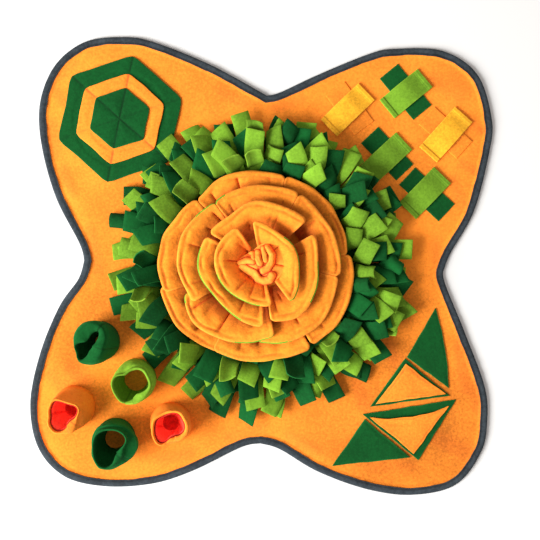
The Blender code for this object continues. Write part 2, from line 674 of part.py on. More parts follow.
def drawn_strip(draw, sector, row, slot):
    """One random strip of a row, in its slot of a sector."""
    pitch_of_slots = math.tau / FRINGE_SECTORS / row.count
    width = STRIP_WIDTH * draw.uniform(*STRIP_WIDTH_RANGE)
    spare = max(pitch_of_slots * row.root_radius - width - ROOT_SPACING, 0.0) / row.root_radius
    middle = math.tau * sector / FRINGE_SECTORS + pitch_of_slots * (slot + 0.5)
    angle = middle + draw.uniform(-0.5, 0.5) * spare
    root = polar(FRINGE_CENTRE, row.root_radius + draw.uniform(-row.scatter, row.scatter), angle)
    return strip_rows(
        root,
        angle + math.radians(draw.uniform(-STRIP_SKEW, STRIP_SKEW)),
        draw.uniform(*row.first_pitch),
        draw.uniform(*row.last_pitch),
        draw.uniform(*row.length),
        width,
        draw.uniform(-STRIP_SWERVE, STRIP_SWERVE),
        draw.uniform(-STRIP_ROLL, STRIP_ROLL),
    )


def backing_sections(sector):
    """Cross-sections of one sector of the backing, a narrow strip in the shape of an arc."""
    gap = BACKING_END_GAP / BACKING_INNER_RADIUS
    start = math.tau * sector / FRINGE_SECTORS + gap
    end = math.tau * (sector + 1) / FRINGE_SECTORS - gap
    low, high = ON_MAT, ON_MAT + SHEET_THICKNESS
    corners = ((BACKING_INNER_RADIUS, low), (BACKING_OUTER_RADIUS, low),
               (BACKING_OUTER_RADIUS, high), (BACKING_INNER_RADIUS, high))
    sections = []
    for k in range(BACKING_STEPS + 1):
        angle = start + (end - start) * k / BACKING_STEPS
        flat = [(polar(FRINGE_CENTRE, radius, angle), height) for radius, height in corners]
        sections.append([Vector((point.x, point.y, height)) for point, height in flat])
    return sections


def backing_tree(sector):
    bm = bmesh.new()
    loft(bm, backing_sections(sector))
    tree = BVHTree.FromBMesh(bm)
    bm.free()
    return tree


def placed_strips(obstacles):
    """The strips of each sector. A drawn strip is kept where it touches nothing that is already there."""
    draw = random.Random(FRINGE_SEED)
    taken = [evaluated_tree(piece) for piece in obstacles]
    backings = [backing_tree(sector) for sector in range(FRINGE_SECTORS)]
    sectors = [[] for _ in range(FRINGE_SECTORS)]
    for row in STRIP_ROWS:
        for sector in range(FRINGE_SECTORS):
            others = backings[:sector] + backings[sector + 1:]
            for slot in range(row.count):
                for _ in range(STRIP_TRIES):
                    rows = drawn_strip(draw, sector, row, slot)
                    if not clear_of_mat(rows) or not within_reach(rows):
                        continue
                    fat = thick_tree(rows, STRIP_THICKNESS + 2 * STRIP_CLEARANCE)
                    if any(fat.overlap(other) for other in taken + others):
                        continue
                    taken.append(thick_tree(rows, STRIP_THICKNESS))
                    sectors[sector].append(rows)
                    break
    return sectors


def make_fringe(obstacles, collection, helpers):
    for sector, strips in enumerate(placed_strips(obstacles)):
        cloth = LIME if sector % 2 else DARK_GREEN
        bm = bmesh.new()
        for rows in strips:
            grid_sheet(bm, rows)
        fan = object_of(f"fringe_{sector + 1}_strips", bm, cloth, helpers)
        solidify(fan, STRIP_THICKNESS)
        fan.hide_render = True
        fan.display_type = "WIRE"
        backing = bmesh.new()
        loft(backing, backing_sections(sector))
        piece = object_of(f"fringe_{sector + 1}", backing, cloth, collection)
        union = piece.modifiers.new("Strips", "BOOLEAN")
        union.operation = "UNION"
        union.object = fan


def main():
    for old in list(bpy.data.objects):
        bpy.data.objects.remove(old, do_unlink=True)
    collection = bpy.data.collections.new("Snuffle mat")
    helpers = bpy.data.collections.new("Snuffle mat helpers")
    bpy.context.scene.collection.children.link(collection)
    bpy.context.scene.collection.children.link(helpers)

    outline = mat_outline()
    make_panel(outline, collection)
    make_binding(outline, collection)
    make_hexagon(collection)
    make_straps(collection)
    make_triangles(collection)
    cups = make_cups(collection)
    petals = make_petals(collection)
    make_knot(collection)
    bpy.context.view_layer.update()
    make_fringe(cups + petals, collection, helpers)


main()
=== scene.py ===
"""Looks of a snuffle mat: felt, fleece, folds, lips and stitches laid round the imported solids.

Metres, +Z up, in the frame of the solids. Run as a script; each operator builds one group of pieces.
"""

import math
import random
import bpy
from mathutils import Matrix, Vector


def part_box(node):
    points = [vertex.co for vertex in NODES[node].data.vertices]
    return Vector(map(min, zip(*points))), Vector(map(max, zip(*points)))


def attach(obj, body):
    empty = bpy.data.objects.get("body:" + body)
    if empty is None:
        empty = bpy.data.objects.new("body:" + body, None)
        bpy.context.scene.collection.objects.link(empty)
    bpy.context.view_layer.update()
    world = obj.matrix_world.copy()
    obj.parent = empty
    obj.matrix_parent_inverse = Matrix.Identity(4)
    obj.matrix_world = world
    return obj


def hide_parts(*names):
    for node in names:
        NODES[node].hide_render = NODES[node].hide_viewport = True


bl_info = {
    "name": "Snuffle Mat",
    "version": (1, 0, 0),
    "blender": (4, 5, 0),
    "location": "3D View > Sidebar > Snuffle Mat",
    "description": "Builds the felt and fleece of a snuffle mat round its packed solids",
    "category": "Object",
}

from collections import namedtuple

import bmesh
import bpy
import numpy as np
from bpy.props import FloatProperty, FloatVectorProperty, PointerProperty
from mathutils import Matrix, Vector, noise
from mathutils.bvhtree import BVHTree
from mathutils.kdtree import KDTree

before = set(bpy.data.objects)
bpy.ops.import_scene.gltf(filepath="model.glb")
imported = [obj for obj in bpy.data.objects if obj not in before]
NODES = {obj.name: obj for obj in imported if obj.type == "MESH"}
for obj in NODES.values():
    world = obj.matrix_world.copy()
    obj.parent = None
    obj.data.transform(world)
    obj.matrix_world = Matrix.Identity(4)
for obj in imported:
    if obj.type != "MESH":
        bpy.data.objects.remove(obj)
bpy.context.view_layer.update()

MM = 0.001

# ---------------------------------------------------------------- sizes of the solids
PANEL_THICKNESS = 3.0 * MM
PANEL_RIM_LIFT = 1.25 * MM
TAPE_WIDTH = 11.0 * MM
TAPE_THICKNESS = 0.95 * MM
SHEET_THICKNESS = 1.5 * MM
DRAPE_CLEARANCE = 2.0 * MM
TOUCH_GAP = 0.3 * MM
ON_MAT = PANEL_THICKNESS + TOUCH_GAP  # height at which a sewn-on piece starts
RIM_SHARES = (0.0, 0.12, 0.42)  # where a mesh has points on a rounded rim, from the edge inwards
WELD = 2e-6  # points closer than this are one
MESH_SPACING = 2.3 * MM

# ---------------------------------------------------------------- mat
# Points of the outline in mm, counter-clockwise, one row for each lobe. The curve is smooth within a lobe,
# and two lobes meet in a notch.
LOBES_MM = (
    ((9, 259), (-77, 306), (-165, 341), (-211, 348), (-267, 341), (-311, 308),
     (-335, 254), (-335, 191), (-313, 107), (-276, 34), (-269, 8)),
    ((-269, 8), (-278, -20), (-307, -62), (-336, -133), (-351, -209), (-339, -276),
     (-299, -320), (-237, -335), (-165, -331), (-103, -311), (-31, -276), (-1, -270)),
    ((-1, -270), (29, -279), (87, -313), (163, -340), (233, -348), (297, -332),
     (335, -282), (344, -235), (340, -183), (309, -99), (279, -24), (279, -3)),
    ((279, -3), (289, 21), (324, 84), (347, 172), (351, 223), (329, 291),
     (276, 327), (201, 330), (163, 322), (87, 291), (29, 264), (9, 259)),
)
PANEL_POINTS_PER_LOBE = 120
TAPE_POINTS_PER_LOBE = 240
OUTLINE_SAMPLES = 800  # of each lobe, before its points are spread evenly
MITRE_LIMIT = 0.5  # keeps an inset from running away at a sharp notch
TAPE_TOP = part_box("edge_binding")[1].z
WAVE_HEIGHT = 1.7 * MM  # most that the mat's cloth lifts off the floor between the sewn pieces
WAVE_LENGTH = 75.0 * MM
SHORT_WAVE_LENGTH = 28.0 * MM
PANEL_BORDER = 20.0 * MM  # the mesh follows the outline as far in as this, and then runs to the middle
BORDER_ROWS = 9
PANEL_ROWS = 46
WRINKLE_REACH = 120  # no wrinkle is felt further than this from its start, in mm
SHADE_FADE = 1.8  # how much faster a wrinkle's shade fades on its far side
# Soft wrinkles in mm: from one point to another, how high and how wide, and how much painted shade of the
# crease colour lies beside them.
Wrinkle = namedtuple("Wrinkle", "x0 y0 x1 y1 height width shade")
WRINKLES = (
    Wrinkle(298, -121, 309, -188, 1.0, 9, 0.30),
    Wrinkle(321, -180, 326, -220, 0.7, 7, 0.26),
    Wrinkle(262, -262, 317, -290, 0.9, 12, 0.26),
    Wrinkle(170, -306, 225, -308, 0.7, 9, 0.22),
    Wrinkle(185, -108, 203, -148, 0.8, 9, 0.26),
    Wrinkle(141, -166, 153, -214, 0.8, 10, 0.28),
    Wrinkle(316, 216, 337, 205, 1.0, 5, 0.40),
    Wrinkle(304, 155, 325, 141, 0.9, 6, 0.34),
    Wrinkle(290, 291, 311, 268, 0.7, 8, 0.20),
    Wrinkle(262, 282, 300, 255, 0.7, 11, 0.24),
    Wrinkle(290, 128, 304, 92, 0.8, 8, 0.26),
    Wrinkle(-320, 272, -304, 250, 0.8, 8, 0.26),
    Wrinkle(-308, 286, -284, 305, 0.7, 7, 0.22),
    Wrinkle(-320, 215, -315, 172, 0.8, 8, 0.26),
    Wrinkle(-303, 146, -291, 114, 0.8, 8, 0.26),
    Wrinkle(-62, 262, -28, 246, 0.8, 8, 0.24),
    Wrinkle(24, 240, 60, 252, 0.8, 8, 0.24),
    Wrinkle(-294, -158, -270, -176, 0.8, 8, 0.24),
    Wrinkle(-322, -166, -305, -188, 0.8, 8, 0.26),
    Wrinkle(-150, -296, -110, -286, 0.8, 9, 0.24),
    Wrinkle(-330, -262, -322, -226, 0.7, 8, 0.22),
    Wrinkle(-262, 52, -250, -6, 0.9, 8, 0.24),
    Wrinkle(262, 34, 272, -24, 0.9, 8, 0.24),
    Wrinkle(-46, -262, 2, -246, 0.8, 8, 0.22),
    Wrinkle(44, -262, 82, -282, 0.8, 9, 0.24),
)

# Painted light and shade on the mat: places in mm, how far each reaches, and how much lighter or darker the
# cloth is drawn there.
Nap = namedtuple("Nap", "x y reach tone")
LIGHT_PATCHES = (
    Nap(262, -262, 120, -0.31),
    Nap(150, -300, 50, -0.10),
    Nap(322, 262, 90, 0.13),
    Nap(-318, 300, 90, 0.16),
    Nap(-318, 165, 80, 0.18),
    Nap(48, 262, 70, 0.14),
    Nap(262, 40, 60, 0.15),
    Nap(-250, -70, 55, -0.25),
    Nap(-300, -20, 40, -0.12),
    Nap(-20, -262, 60, 0.05),
    Nap(-286, -122, 42, -0.20),
    Nap(-221, -261, 26, -0.34),
    Nap(198, -140, 55, -0.14),
    Nap(-147, 223, 36, -0.20),
    Nap(222, 66, 50, 0.10),
)

# ---------------------------------------------------------------- binding
# The tape's section, from the outline inwards and up from the floor, all round the cloth.
TapePoint = namedtuple("TapePoint", "inset height")
TAPE_PROFILE_MM = (
    TapePoint(11.0, 0.15), TapePoint(6.0, 0.0), TapePoint(1.6, 0.0), TapePoint(0.35, 0.7),
    TapePoint(0.0, 2.2), TapePoint(0.15, 3.8), TapePoint(1.2, 5.1), TapePoint(3.4, 5.5),
    TapePoint(6.4, 5.45), TapePoint(8.4, 5.0), TapePoint(9.4, 4.85), TapePoint(10.6, 5.35),
    TapePoint(11.2, 5.1), TapePoint(11.1, 4.65), TapePoint(6.0, 4.55), TapePoint(1.1, 4.5),
    TapePoint(0.95, 2.2), TapePoint(1.1, 0.95), TapePoint(6.0, 0.95), TapePoint(11.0, 0.95),
)
TAPE_SHADES = {9: 0.5, 10: 0.7, 12: 0.6, 13: 1.0, 14: 1.0}  # darker rows: the seam and the inner edge
LAP_PLACE = Vector((0.003, 0.2590))  # where the binding's ends lap, at the upper notch
LAP_REACH = 22.0 * MM

# ---------------------------------------------------------------- hexagon
HEXAGON_CENTRE = Vector((-0.2147, 0.2234))
HEXAGON_TURN = math.radians(18.5)
HEXAGON_PUFF = 1.2 * MM
CORNER_START = 0.955  # share of a layer's radius beyond which its corners are blunted
CORNER_BLUNTING = 0.45
HexLayer = namedtuple("HexLayer", "name radius cloth")
HEX_LAYERS = (
    HexLayer("hex_layer_large", 0.099, "green"),
    HexLayer("hex_layer_middle", 0.071, "mat"),
    HexLayer("hex_layer_small", 0.048, "green"),
)
# How deep each of the six spokes is sewn down, from the first corner counter-clockwise.
SPOKE_DEPTHS = (0.35, 1.0, 0.9, 0.35, 1.0, 0.9)

# ---------------------------------------------------------------- crossed straps
STRAP_WIDTH = 36.0 * MM
STRAP_REACH = 45.0 * MM
HEM_LENGTH = 7.5 * MM
STRAP_RAMP = 26.0 * MM
Strap = namedtuple("Strap", "x y angle length")
Cross = namedtuple("Cross", "over over_cloth under under_cloth")
CROSSES = (
    Cross(Strap(0.2196, 0.2618, 39.4, 0.075), "lime", Strap(0.2191, 0.2647, -50.8, 0.081), "green"),
    Cross(Strap(0.1310, 0.2371, 43.9, 0.080), "yellow", Strap(0.1340, 0.2397, -53.6, 0.075), "mat"),
    Cross(Strap(0.2801, 0.1996, 48.4, 0.082), "yellow", Strap(0.2797, 0.2025, -42.5, 0.078), "mat"),
    Cross(Strap(0.1882, 0.1633, 43.0, 0.078), "lime", Strap(0.1912, 0.1708, -46.7, 0.078), "green"),
    Cross(Strap(0.2484, 0.1110, 45.7, 0.076), "lime", Strap(0.2515, 0.1089, -42.9, 0.082), "green"),
)

# ---------------------------------------------------------------- triangle pockets
POCKET_GAPE = 3.0 * MM
# bow: how far the side after the third corner swells outwards. gape_side: the free edge, or None.
# sag: how far the free edge hangs back from the straight line.
Triangle = namedtuple("Triangle", "name corners bow gape_side sag level cloth")
TRIANGLES = (
    Triangle("pocket_a_base", ((0.2646, -0.0633), (0.2208, -0.1385), (0.2847, -0.1857)),
             0.004, None, 0.0, 0, "green"),
    Triangle("pocket_b_base", ((0.2182, -0.1403), (0.1649, -0.2138), (0.2865, -0.1972)),
             0.0, None, 0.0, 0, "green"),
    Triangle("pocket_b_flap", ((0.2191, -0.1481), (0.1735, -0.2095), (0.2803, -0.1942)),
             0.0, 1, 0.001, 1, "mat"),
    Triangle("pocket_c_base", ((0.1534, -0.2252), (0.2384, -0.2952), (0.2962, -0.2024)),
             0.0, None, 0.0, 0, "green"),
    Triangle("pocket_c_flap", ((0.1642, -0.2292), (0.2309, -0.2851), (0.2847, -0.2120)),
             0.0, 2, 0.0078, 1, "mat"),
    Triangle("pocket_d_base", ((0.1569, -0.2323), (0.1071, -0.3039), (0.2262, -0.2908)),
             0.0, None, 0.0, 0, "green"),
)

# ---------------------------------------------------------------- cups
# mouth_x, mouth_y: middle of the mouth.
# rim, mouth, roll: radii, and width of the rolled rim, in mm every 30 degrees from +X, counter-clockwise.
# lap: angle where the rolled rim's end lies over its start, how thick it is (mm) and over how many degrees
# it thins out. seam: angle of the side seam. cuff: height of a turned-down cuff, if there is one.
# taper: how narrow the inner wall is at its foot, as a share.
Cup = namedtuple(
    "Cup", "name x y base_radius height mouth_x mouth_y rim mouth roll lap seam cuff taper cloth")
CUPS = (
    Cup("cup_upper_green", -0.2452, -0.1140, 0.0300, 0.054, -0.2519, -0.1164,
        (28, 34, 37, 37, 34, 29, 24.5, 27, 31, 33, 31, 28),
        (6, 12, 24, 11, 7, 9, 18, 19, 24, 9, 6, 5.5),
        (17, 17, 10, 23, 23, 16, 4, 3.5, 5, 18, 19, 17), (62, 2.5, 60), -12, 0.0, 0.35, "green"),
    Cup("cup_lime", -0.1903, -0.1714, 0.0310, 0.052, -0.1898, -0.1761,
        (36, 37, 36, 35, 33, 32, 31, 29, 31, 32.5, 29.5, 31),
        (25, 25, 26, 22, 18.5, 26, 27, 26, 25.5, 20, 14.5, 18),
        (5, 5, 5, 5, 4.5, 4, 4, 4, 4, 5, 11, 9), (-82, 3.0, 70), 250, 0.0, 0.66, "lime"),
    Cup("cup_left_orange", -0.2842, -0.2131, 0.0315, 0.054, -0.2894, -0.2206,
        (33, 30, 25.5, 26, 30.5, 27, 24, 27, 28, 25.5, 28, 33),
        (18, 23.5, 22, 22.5, 26, 23.5, 21.5, 24.5, 24, 20, 14.5, 13),
        (3.5, 3.5, 3.5, 3.5, 4, 4, 4, 4, 4, 5, 12, 10), (-66, 3.0, 50), -30, 0.0, 0.9, "mat"),
    Cup("cup_lower_green", -0.2216, -0.2613, 0.0305, 0.056, -0.2212, -0.2666,
        (36, 36, 33, 31, 31.5, 29, 27, 29, 32.5, 31, 28, 31),
        (16, 26, 27.5, 26.5, 26.5, 25, 24, 26, 29, 25, 14.5, 12.5),
        (5, 3.6, 3.6, 3.6, 3.6, 3.6, 3.6, 3.6, 3.6, 4, 9, 10), (-30, 3.0, 50), -40, 0.020, 0.6, "green"),
    Cup("cup_right_orange", -0.1381, -0.2372, 0.0305, 0.050, -0.1346, -0.2374,
        (33, 31.5, 29.5, 26, 24.5, 27, 27.5, 29, 31, 23, 23, 31.5),
        (23, 23, 24, 21, 20, 22.5, 22.5, 24.5, 27, 17, 16, 20.5),
        (6.5, 6, 6, 6, 5, 4, 4, 4, 4, 6, 8, 7), (-58, 3.0, 45), -100, 0.0, 0.9, "mat"),
)
LINED_CUPS = ("cup_left_orange", "cup_right_orange")
# By cloth: how much lighter a cup's outer wall is drawn, as painted light on a wall that faces away from the
# lamp, how much lighter the rest of it looks, and how much painted shade of the crease colour the wall takes.
CupTone = namedtuple("CupTone", "wall rest deep")
CUP_LIGHT_AND_TONE = {
    "mat": CupTone(0.26, 0.0, 0.3),
    "green": CupTone(0.30, 0.16, 0.0),
    "lime": CupTone(0.30, 0.04, 0.0),
}
CUP_WALL = 2.6 * MM
CUP_ROWS = 72
LINING_ROWS = 40
LINING_THICKNESS = 1.2 * MM
LINING_SHADE_LINES = (20, 95, 165, 250, 310)  # angles in degrees at which painted shade lines run down the lining, as if it were folded there

# ---------------------------------------------------------------- rosette
ROSETTE_CENTRE = Vector((0.000, 0.005))
PETAL_THICKNESS = 3.0 * MM
Ring = namedtuple("Ring", "base_radius rim_height petals")
# creases: angles in degrees where a pleat is sewn in.
Petal = namedtuple("Petal", "name start end rim tuck_start tuck_end creases")
RINGS = (
    Ring(0.098, 0.030, (
        Petal("petal_e1", 135.7, 74.3, (0.134, 0.140, 0.137, 0.133), 0, 0, (126, 106, 84)),
        Petal("petal_e2", 73.7, 5.3, (0.135, 0.135, 0.132, 0.130), 0, 0, (58, 25)),
        Petal("petal_e3", 4.7, -58, (0.135, 0.141, 0.146, 0.145), 0, 0, (-24, -46)),
        Petal("petal_e4", 136.3, 197, (0.136, 0.143, 0.152, 0.154, 0.150), 0, 0.003, (150, 173, 188)),
        Petal("petal_e5", 194, 244, (0.156, 0.157, 0.150), -0.003, -0.003, (207, 226)),
        Petal("petal_e6", 241, 300, (0.150, 0.148, 0.146, 0.148), 0.003, 0, (256, 268, 285)),
    )),
    Ring(0.068, 0.043, (
        Petal("petal_d1", 127.7, 61.4, (0.113, 0.114, 0.115), 0, 0, (118, 97, 70)),
        Petal("petal_d2", 60.6, -9.6, (0.1145, 0.1136, 0.1174), 0, 0, (38, 9)),
        Petal("petal_d3", -10.4, -92, (0.1155, 0.1194, 0.1242, 0.1251, 0.1232, 0.1184), 0, -0.004,
              (-33, -58, -80)),
        Petal("petal_d4", 128.3, 210, (0.1136, 0.1174, 0.1232, 0.1232, 0.1203, 0.1165), 0, 0.004,
              (134, 147, 166, 197)),
        Petal("petal_d5", 203, 280, (0.126, 0.1328, 0.128, 0.1194, 0.1112), -0.004, 0.004,
              (214, 222, 238, 262)),
    )),
    Ring(0.040, 0.054, (
        Petal("petal_c1", 150, 43, (0.0876, 0.0819, 0.0885, 0.0876, 0.0904), 0, 0, (139, 108, 78, 70)),
        Petal("petal_c2", 28, -80, (0.0876, 0.0838, 0.0895, 0.0952, 0.0857), 0, 0, (12, -20, -61, -72)),
        Petal("petal_c3", 155, 272, (0.0895, 0.0914, 0.0838, 0.0876, 0.0923), 0, 0, (186, 214, 246)),
    )),
    Ring(0.014, 0.062, (
        Petal("petal_b1", 101, -53, (0.062, 0.051, 0.054, 0.058, 0.073), 0, 0, (42.5, -8.5)),
        Petal("petal_b2", 125, 284, (0.063, 0.067, 0.065, 0.062, 0.065), 0, 0,
              (141, 177, 203, 229, 252, 276)),
    )),
)
FOOT_STATION = 0.12  # share of the way to the rim at which the solid petal's first bend lies
PETAL_FLARE = 1.3
PLEAT_SEED = 5
LIP_WIDTH = 8.0 * MM  # from the rim to the seam that makes the lip
LIP_SWELL = 0.9 * MM
LIP_RAISE = 1.5 * MM
SEAM_PINCH = 0.6 * MM
CREASE_DEPTH = 4.4 * MM
CREASE_WIDTH = 1.9 * MM
PLEAT_PUFF = 3.0 * MM  # how far the cloth swells between two creases
PLEAT_WIDTH = 9.0 * MM
RIM_WAVE = 3.0 * MM  # how far the rim rises and falls
RIM_WANDER = 3.0 * MM  # how far it strays in and out
PETAL_CORNER = 7.0 * MM
# Stretches in degrees, for each ring from the outermost, where the lime underside shows past the rim.
LIME_LINE = 3.0 * MM
LIME_STRETCHES = (
    ((262, 285),),
    ((118, 150), (196, 214), (250, 292), (0, 12)),
    ((166, 252), (-38, 2)),
    ((195, 270), (-52, 48)),
)
RING_LIGHT_AND_SHADE = (-0.05, -0.03, 0.01, 0.04)  # painted light and shade: how much lighter or darker each ring's cloth is drawn, the outer rings darker and the inner ones lighter
# For each ring, how much of the crease's colour the cloth takes deep between the petals, as painted shade.
DEEP_SHADES = (0.78, 0.78, 0.66, 0.42)

KNOT_COLUMNS = 210
KNOT_ROWS = 56
KNOT_SHADE_LINE = 1.3  # how dark the painted shade lines between the folds are
KNOT_SHADE_LINE_WIDTH = 0.21  # in radii of the fold
KNOT_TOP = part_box("rosette_knot")[1].z
KNOT_SKIRT = 54.5 * MM  # height of the drawn-in cloth that the folds stand on
KNOT_REACH = (36, 35, 33, 27, 22, 25, 35, 29, 28, 34, 34, 35)  # radii in mm every 30 degrees from +X
KNOT_DROP = (2.5, 2.5, 3, 8, 13, 13, 9, 12, 12, 8, 4, 3)  # how far the skirt falls to its edge, in mm
# The knot's soft folds in mm from the rosette's centre, and the seams that run out of it.
Fold = namedtuple("Fold", "radius rise points")
FOLDS = (
    Fold(4.6, 5.5, ((-31, -1), (-20.5, 3), (-12, 1.5))),
    Fold(6.0, 6.5, ((-28, -6.5), (-19, -11.5), (-10, -16), (-4.5, -24), (4.5, -27), (13, -25), (16, -19))),
    Fold(3.8, 6.0, ((-17, 16), (-12, 13), (-11, 6))),
    Fold(5.0, 6.5, ((-5, 14), (-5, 6), (-1.5, -1))),
    Fold(3.5, 7.2, ((3, 21), (5, 11.5), (6.5, 3))),
    Fold(5.2, 6.8, ((9, 22), (16, 11.5), (15, 0), (10, -8), (3, -12))),
)
Groove = namedtuple("Groove", "x0 y0 x1 y1 depth width")
GROOVES = (
    Groove(17, 16, 29.5, 26.5, 2.6, 1.5),
    Groove(20, -2.5, 37, -5.5, 3.0, 1.7),
    Groove(9, 27, 1, 24, 2.2, 1.4),
    Groove(-3.5, -9, 1, -20, 3.0, 1.8),
)

# ---------------------------------------------------------------- fringe strips
FRINGE_CENTRE = Vector((0.004, 0.005))
FRINGE_SECTORS = 8
FRINGE_SEED = 41
BACKING_STEPS = 6
BACKING_INNER_RADIUS = 0.127
BACKING_OUTER_RADIUS = 0.189
BACKING_END_GAP = 0.5 * MM
STRIP_THICKNESS = 2.0 * MM
STRIP_WIDTH = 30.0 * MM
STRIP_CLEARANCE = 0.9 * MM
STRIP_REACH = 0.246
Row = namedtuple("Row", "root_radius scatter count first_pitch last_pitch length")
STRIP_ROWS = (
    Row(0.182, 0.003, 4, (12, 28), (-28, 0), (0.050, 0.064)),
    Row(0.171, 0.003, 3, (22, 38), (-30, 5), (0.050, 0.066)),
    Row(0.160, 0.003, 4, (32, 48), (-35, 5), (0.050, 0.066)),
    Row(0.149, 0.003, 3, (40, 56), (-35, 10), (0.052, 0.066)),
    Row(0.138, 0.003, 4, (42, 58), (-30, 15), (0.056, 0.070)),
    Row(0.158, 0.026, 3, (50, 76), (-50, 20), (0.040, 0.056)),
)
STRIP_STATIONS = 4
STRIP_TRIES = 200
STRIP_SWERVE = 45
STRIP_ROLL = 38
STRIP_SKEW = 4
STRIP_WIDTH_RANGE = (0.93, 1.05)
ROOT_SPACING = 2.0 * MM
ROOT_HEIGHT = ON_MAT + 1.0 * MM
COLOUR_SEED = 23
FILLER_SEED = 11
FILLERS = 300  # strips that rise between the rows and bend over them
FILLER_TRIES = 80
FILLER_HIDDEN = 4  # stations of a filler, from its root, that lie hidden among the rows
FILLER_ROOTS = (0.134, 0.184)
FILLER_LENGTHS = (0.038, 0.056)
FILLER_WIDTHS = (0.024, 0.030)
FILLER_PITCHES = (64, 100)  # in degrees from level, at the root
FILLER_ENDS = (-50, 5)  # and at the tip
FILLER_TURN = 110  # most that a filler's heading strays from straight out, in degrees
FILLER_ROLL = 22
FRINGE_TOP = 54.0 * MM
# How far the cut ends reach from the fringe's centre, in mm every 30 degrees from +X. No strip is cut shorter
# than SHORTEST_CUT of its length.
CUT_REACH = (222, 228, 215, 220, 236, 246, 243, 246, 244, 238, 230, 244)
CUT_STRAY = 34.0 * MM  # one strip lies past that reach and its neighbour stays short of it, by half of this
SHORTEST_CUT = 0.5
STRIP_COLUMNS = 4  # faces across a strip in the scene, and along it
STRIP_LENGTHS = 10
LIE_THICKNESS = 0.6 * MM  # felt gives way, so strips may press this close into one another
# How strips lie: share of strips, tightest and loosest curl across the width in degrees over half of it,
# and how far the tip turns over, in degrees.
Lie = namedtuple("Lie", "share across_low across_high tip_low tip_high")
LIES = (
    Lie(0.34, -12, 14, -10, 25),
    Lie(0.24, 15, 38, -20, 50),
    Lie(0.22, 5, 25, 60, 140),
    Lie(0.10, 50, 100, -20, 40),
    Lie(0.10, -50, -20, -80, -30),
)
LIME_SHARES = (0.50, 0.60, 0.65, 0.50, 0.36, 0.46, 0.50, 0.52)  # of each sector's strips

# ---------------------------------------------------------------- studio
CAMERA_PLACE = (0.013, -0.006, 1.2)
CAMERA_LENS = 52.46
FLOOR_SIDE = 6.0


# ================================================================ colour and cloth
def linear(hex_colour):
    """The linear colour of an sRGB hex value."""
    parts = [int(hex_colour[i:i + 2], 16) / 255 for i in (1, 3, 5)]
    return tuple(p / 12.92 if p <= 0.04045 else ((p + 0.055) / 1.055) ** 2.4 for p in parts)


def add_node(tree, kind, inputs=None, **settings):
    """Adds a node with its settings. An input that is a socket is linked, and any other is set."""
    made = tree.nodes.new("ShaderNode" + kind)
    for name, value in settings.items():
        setattr(made, name, value)
    for name, value in (inputs or {}).items():
        if isinstance(value, bpy.types.NodeSocket):
            tree.links.new(value, made.inputs[name])
        else:
            made.inputs[name].default_value = value
    return made


# Needled felt and brushed fleece are matt: short fibres stand out of the face and scatter the light.
# mottle: size in mm of the soft clumps that the fibres lie in. fibre: spacing in mm of the fibres, drawn
# about four times as coarse as they are, because finer ones don't show. patch: size in mm of the wide
# changes of tone that handling leaves. raised: height in mm of the pile.
Finish = namedtuple("Finish", "mottle fibre patch raised contrast sheen roughness")
FELT = Finish(4.0, 2.1, 60.0, 0.32, 0.20, 0.20, 0.95)
FLEECE = Finish(5.0, 2.2, 45.0, 0.60, 0.21, 0.30, 0.9)
TAPE = Finish(4.5, 1.8, 30.0, 0.30, 0.36, 0.30, 0.85)


def cloth_material(name, colour, crease_shade_colour, rim_highlight_colour, finish):
    """Cloth with clumped fibres. The point attribute "finish" holds rim, crease and tone: rim mixes in the
    rim colour as a painted highlight, crease mixes in the crease colour as painted shade in folds and along
    seams, and tone makes one strip a little lighter or darker than another, and paints light and shade on the
    mat, the cups and the rosette."""
    material = bpy.data.materials.new(name)
    material.use_nodes = True
    tree = material.node_tree
    tree.nodes.clear()
    place = add_node(tree, "TexCoord").outputs["Object"]
    marks = add_node(tree, "Attribute", attribute_name="finish").outputs["Vector"]
    rim, crease, tone = add_node(tree, "SeparateXYZ", {"Vector": marks}).outputs

    def clumps(size_mm, detail):
        scale = 1 / (size_mm * MM)
        return add_node(tree, "TexNoise", {"Vector": place, "Scale": scale, "Detail": detail}).outputs["Fac"]

    mottle = clumps(finish.mottle, 3.0)
    patch = clumps(finish.patch, 1.0)
    fibre = clumps(finish.fibre, 4.0)
    weight = add_node(tree, "Math", {0: mottle, 1: 0.38}, operation="MULTIPLY").outputs[0]
    weight = add_node(tree, "Math", {0: patch, 1: 0.32, 2: weight}, operation="MULTIPLY_ADD").outputs[0]
    weight = add_node(tree, "Math", {0: fibre, 1: 0.30, 2: weight}, operation="MULTIPLY_ADD").outputs[0]
    level = add_node(tree, "MapRange", {
        "Value": weight, "From Min": 0.40, "From Max": 0.60,
        "To Min": 1.0 - finish.contrast, "To Max": 1.0 + finish.contrast,
    }).outputs[0]
    level = add_node(tree, "Math", {0: level, 1: tone}, operation="ADD").outputs[0]
    # Painted highlight: rim mixes in the rim colour. Painted shade: crease mixes in the crease colour.
    shade = add_node(tree, "Mix", {0: rim, 6: (*colour, 1), 7: (*rim_highlight_colour, 1)}, data_type="RGBA").outputs[2]
    shade = add_node(tree, "Mix", {0: crease, 6: shade, 7: (*crease_shade_colour, 1)}, data_type="RGBA").outputs[2]
    shade = add_node(tree, "VectorMath", {0: shade, "Scale": level}, operation="SCALE").outputs[0]

    height = add_node(tree, "Math", {0: fibre, 1: 0.6, 2: mottle}, operation="MULTIPLY_ADD").outputs[0]
    bump = add_node(tree, "Bump", {"Height": height, "Strength": 0.8, "Distance": finish.raised * MM})
    shader = add_node(tree, "BsdfPrincipled", {
        "Base Color": shade, "Normal": bump.outputs["Normal"], "Roughness": finish.roughness,
        "Sheen Weight": finish.sheen, "Sheen Roughness": 0.5, "Sheen Tint": (*rim_highlight_colour, 1),
        "Specular IOR Level": 0.15,
    })
    add_node(tree, "OutputMaterial", {"Surface": shader.outputs[0]})
    return material


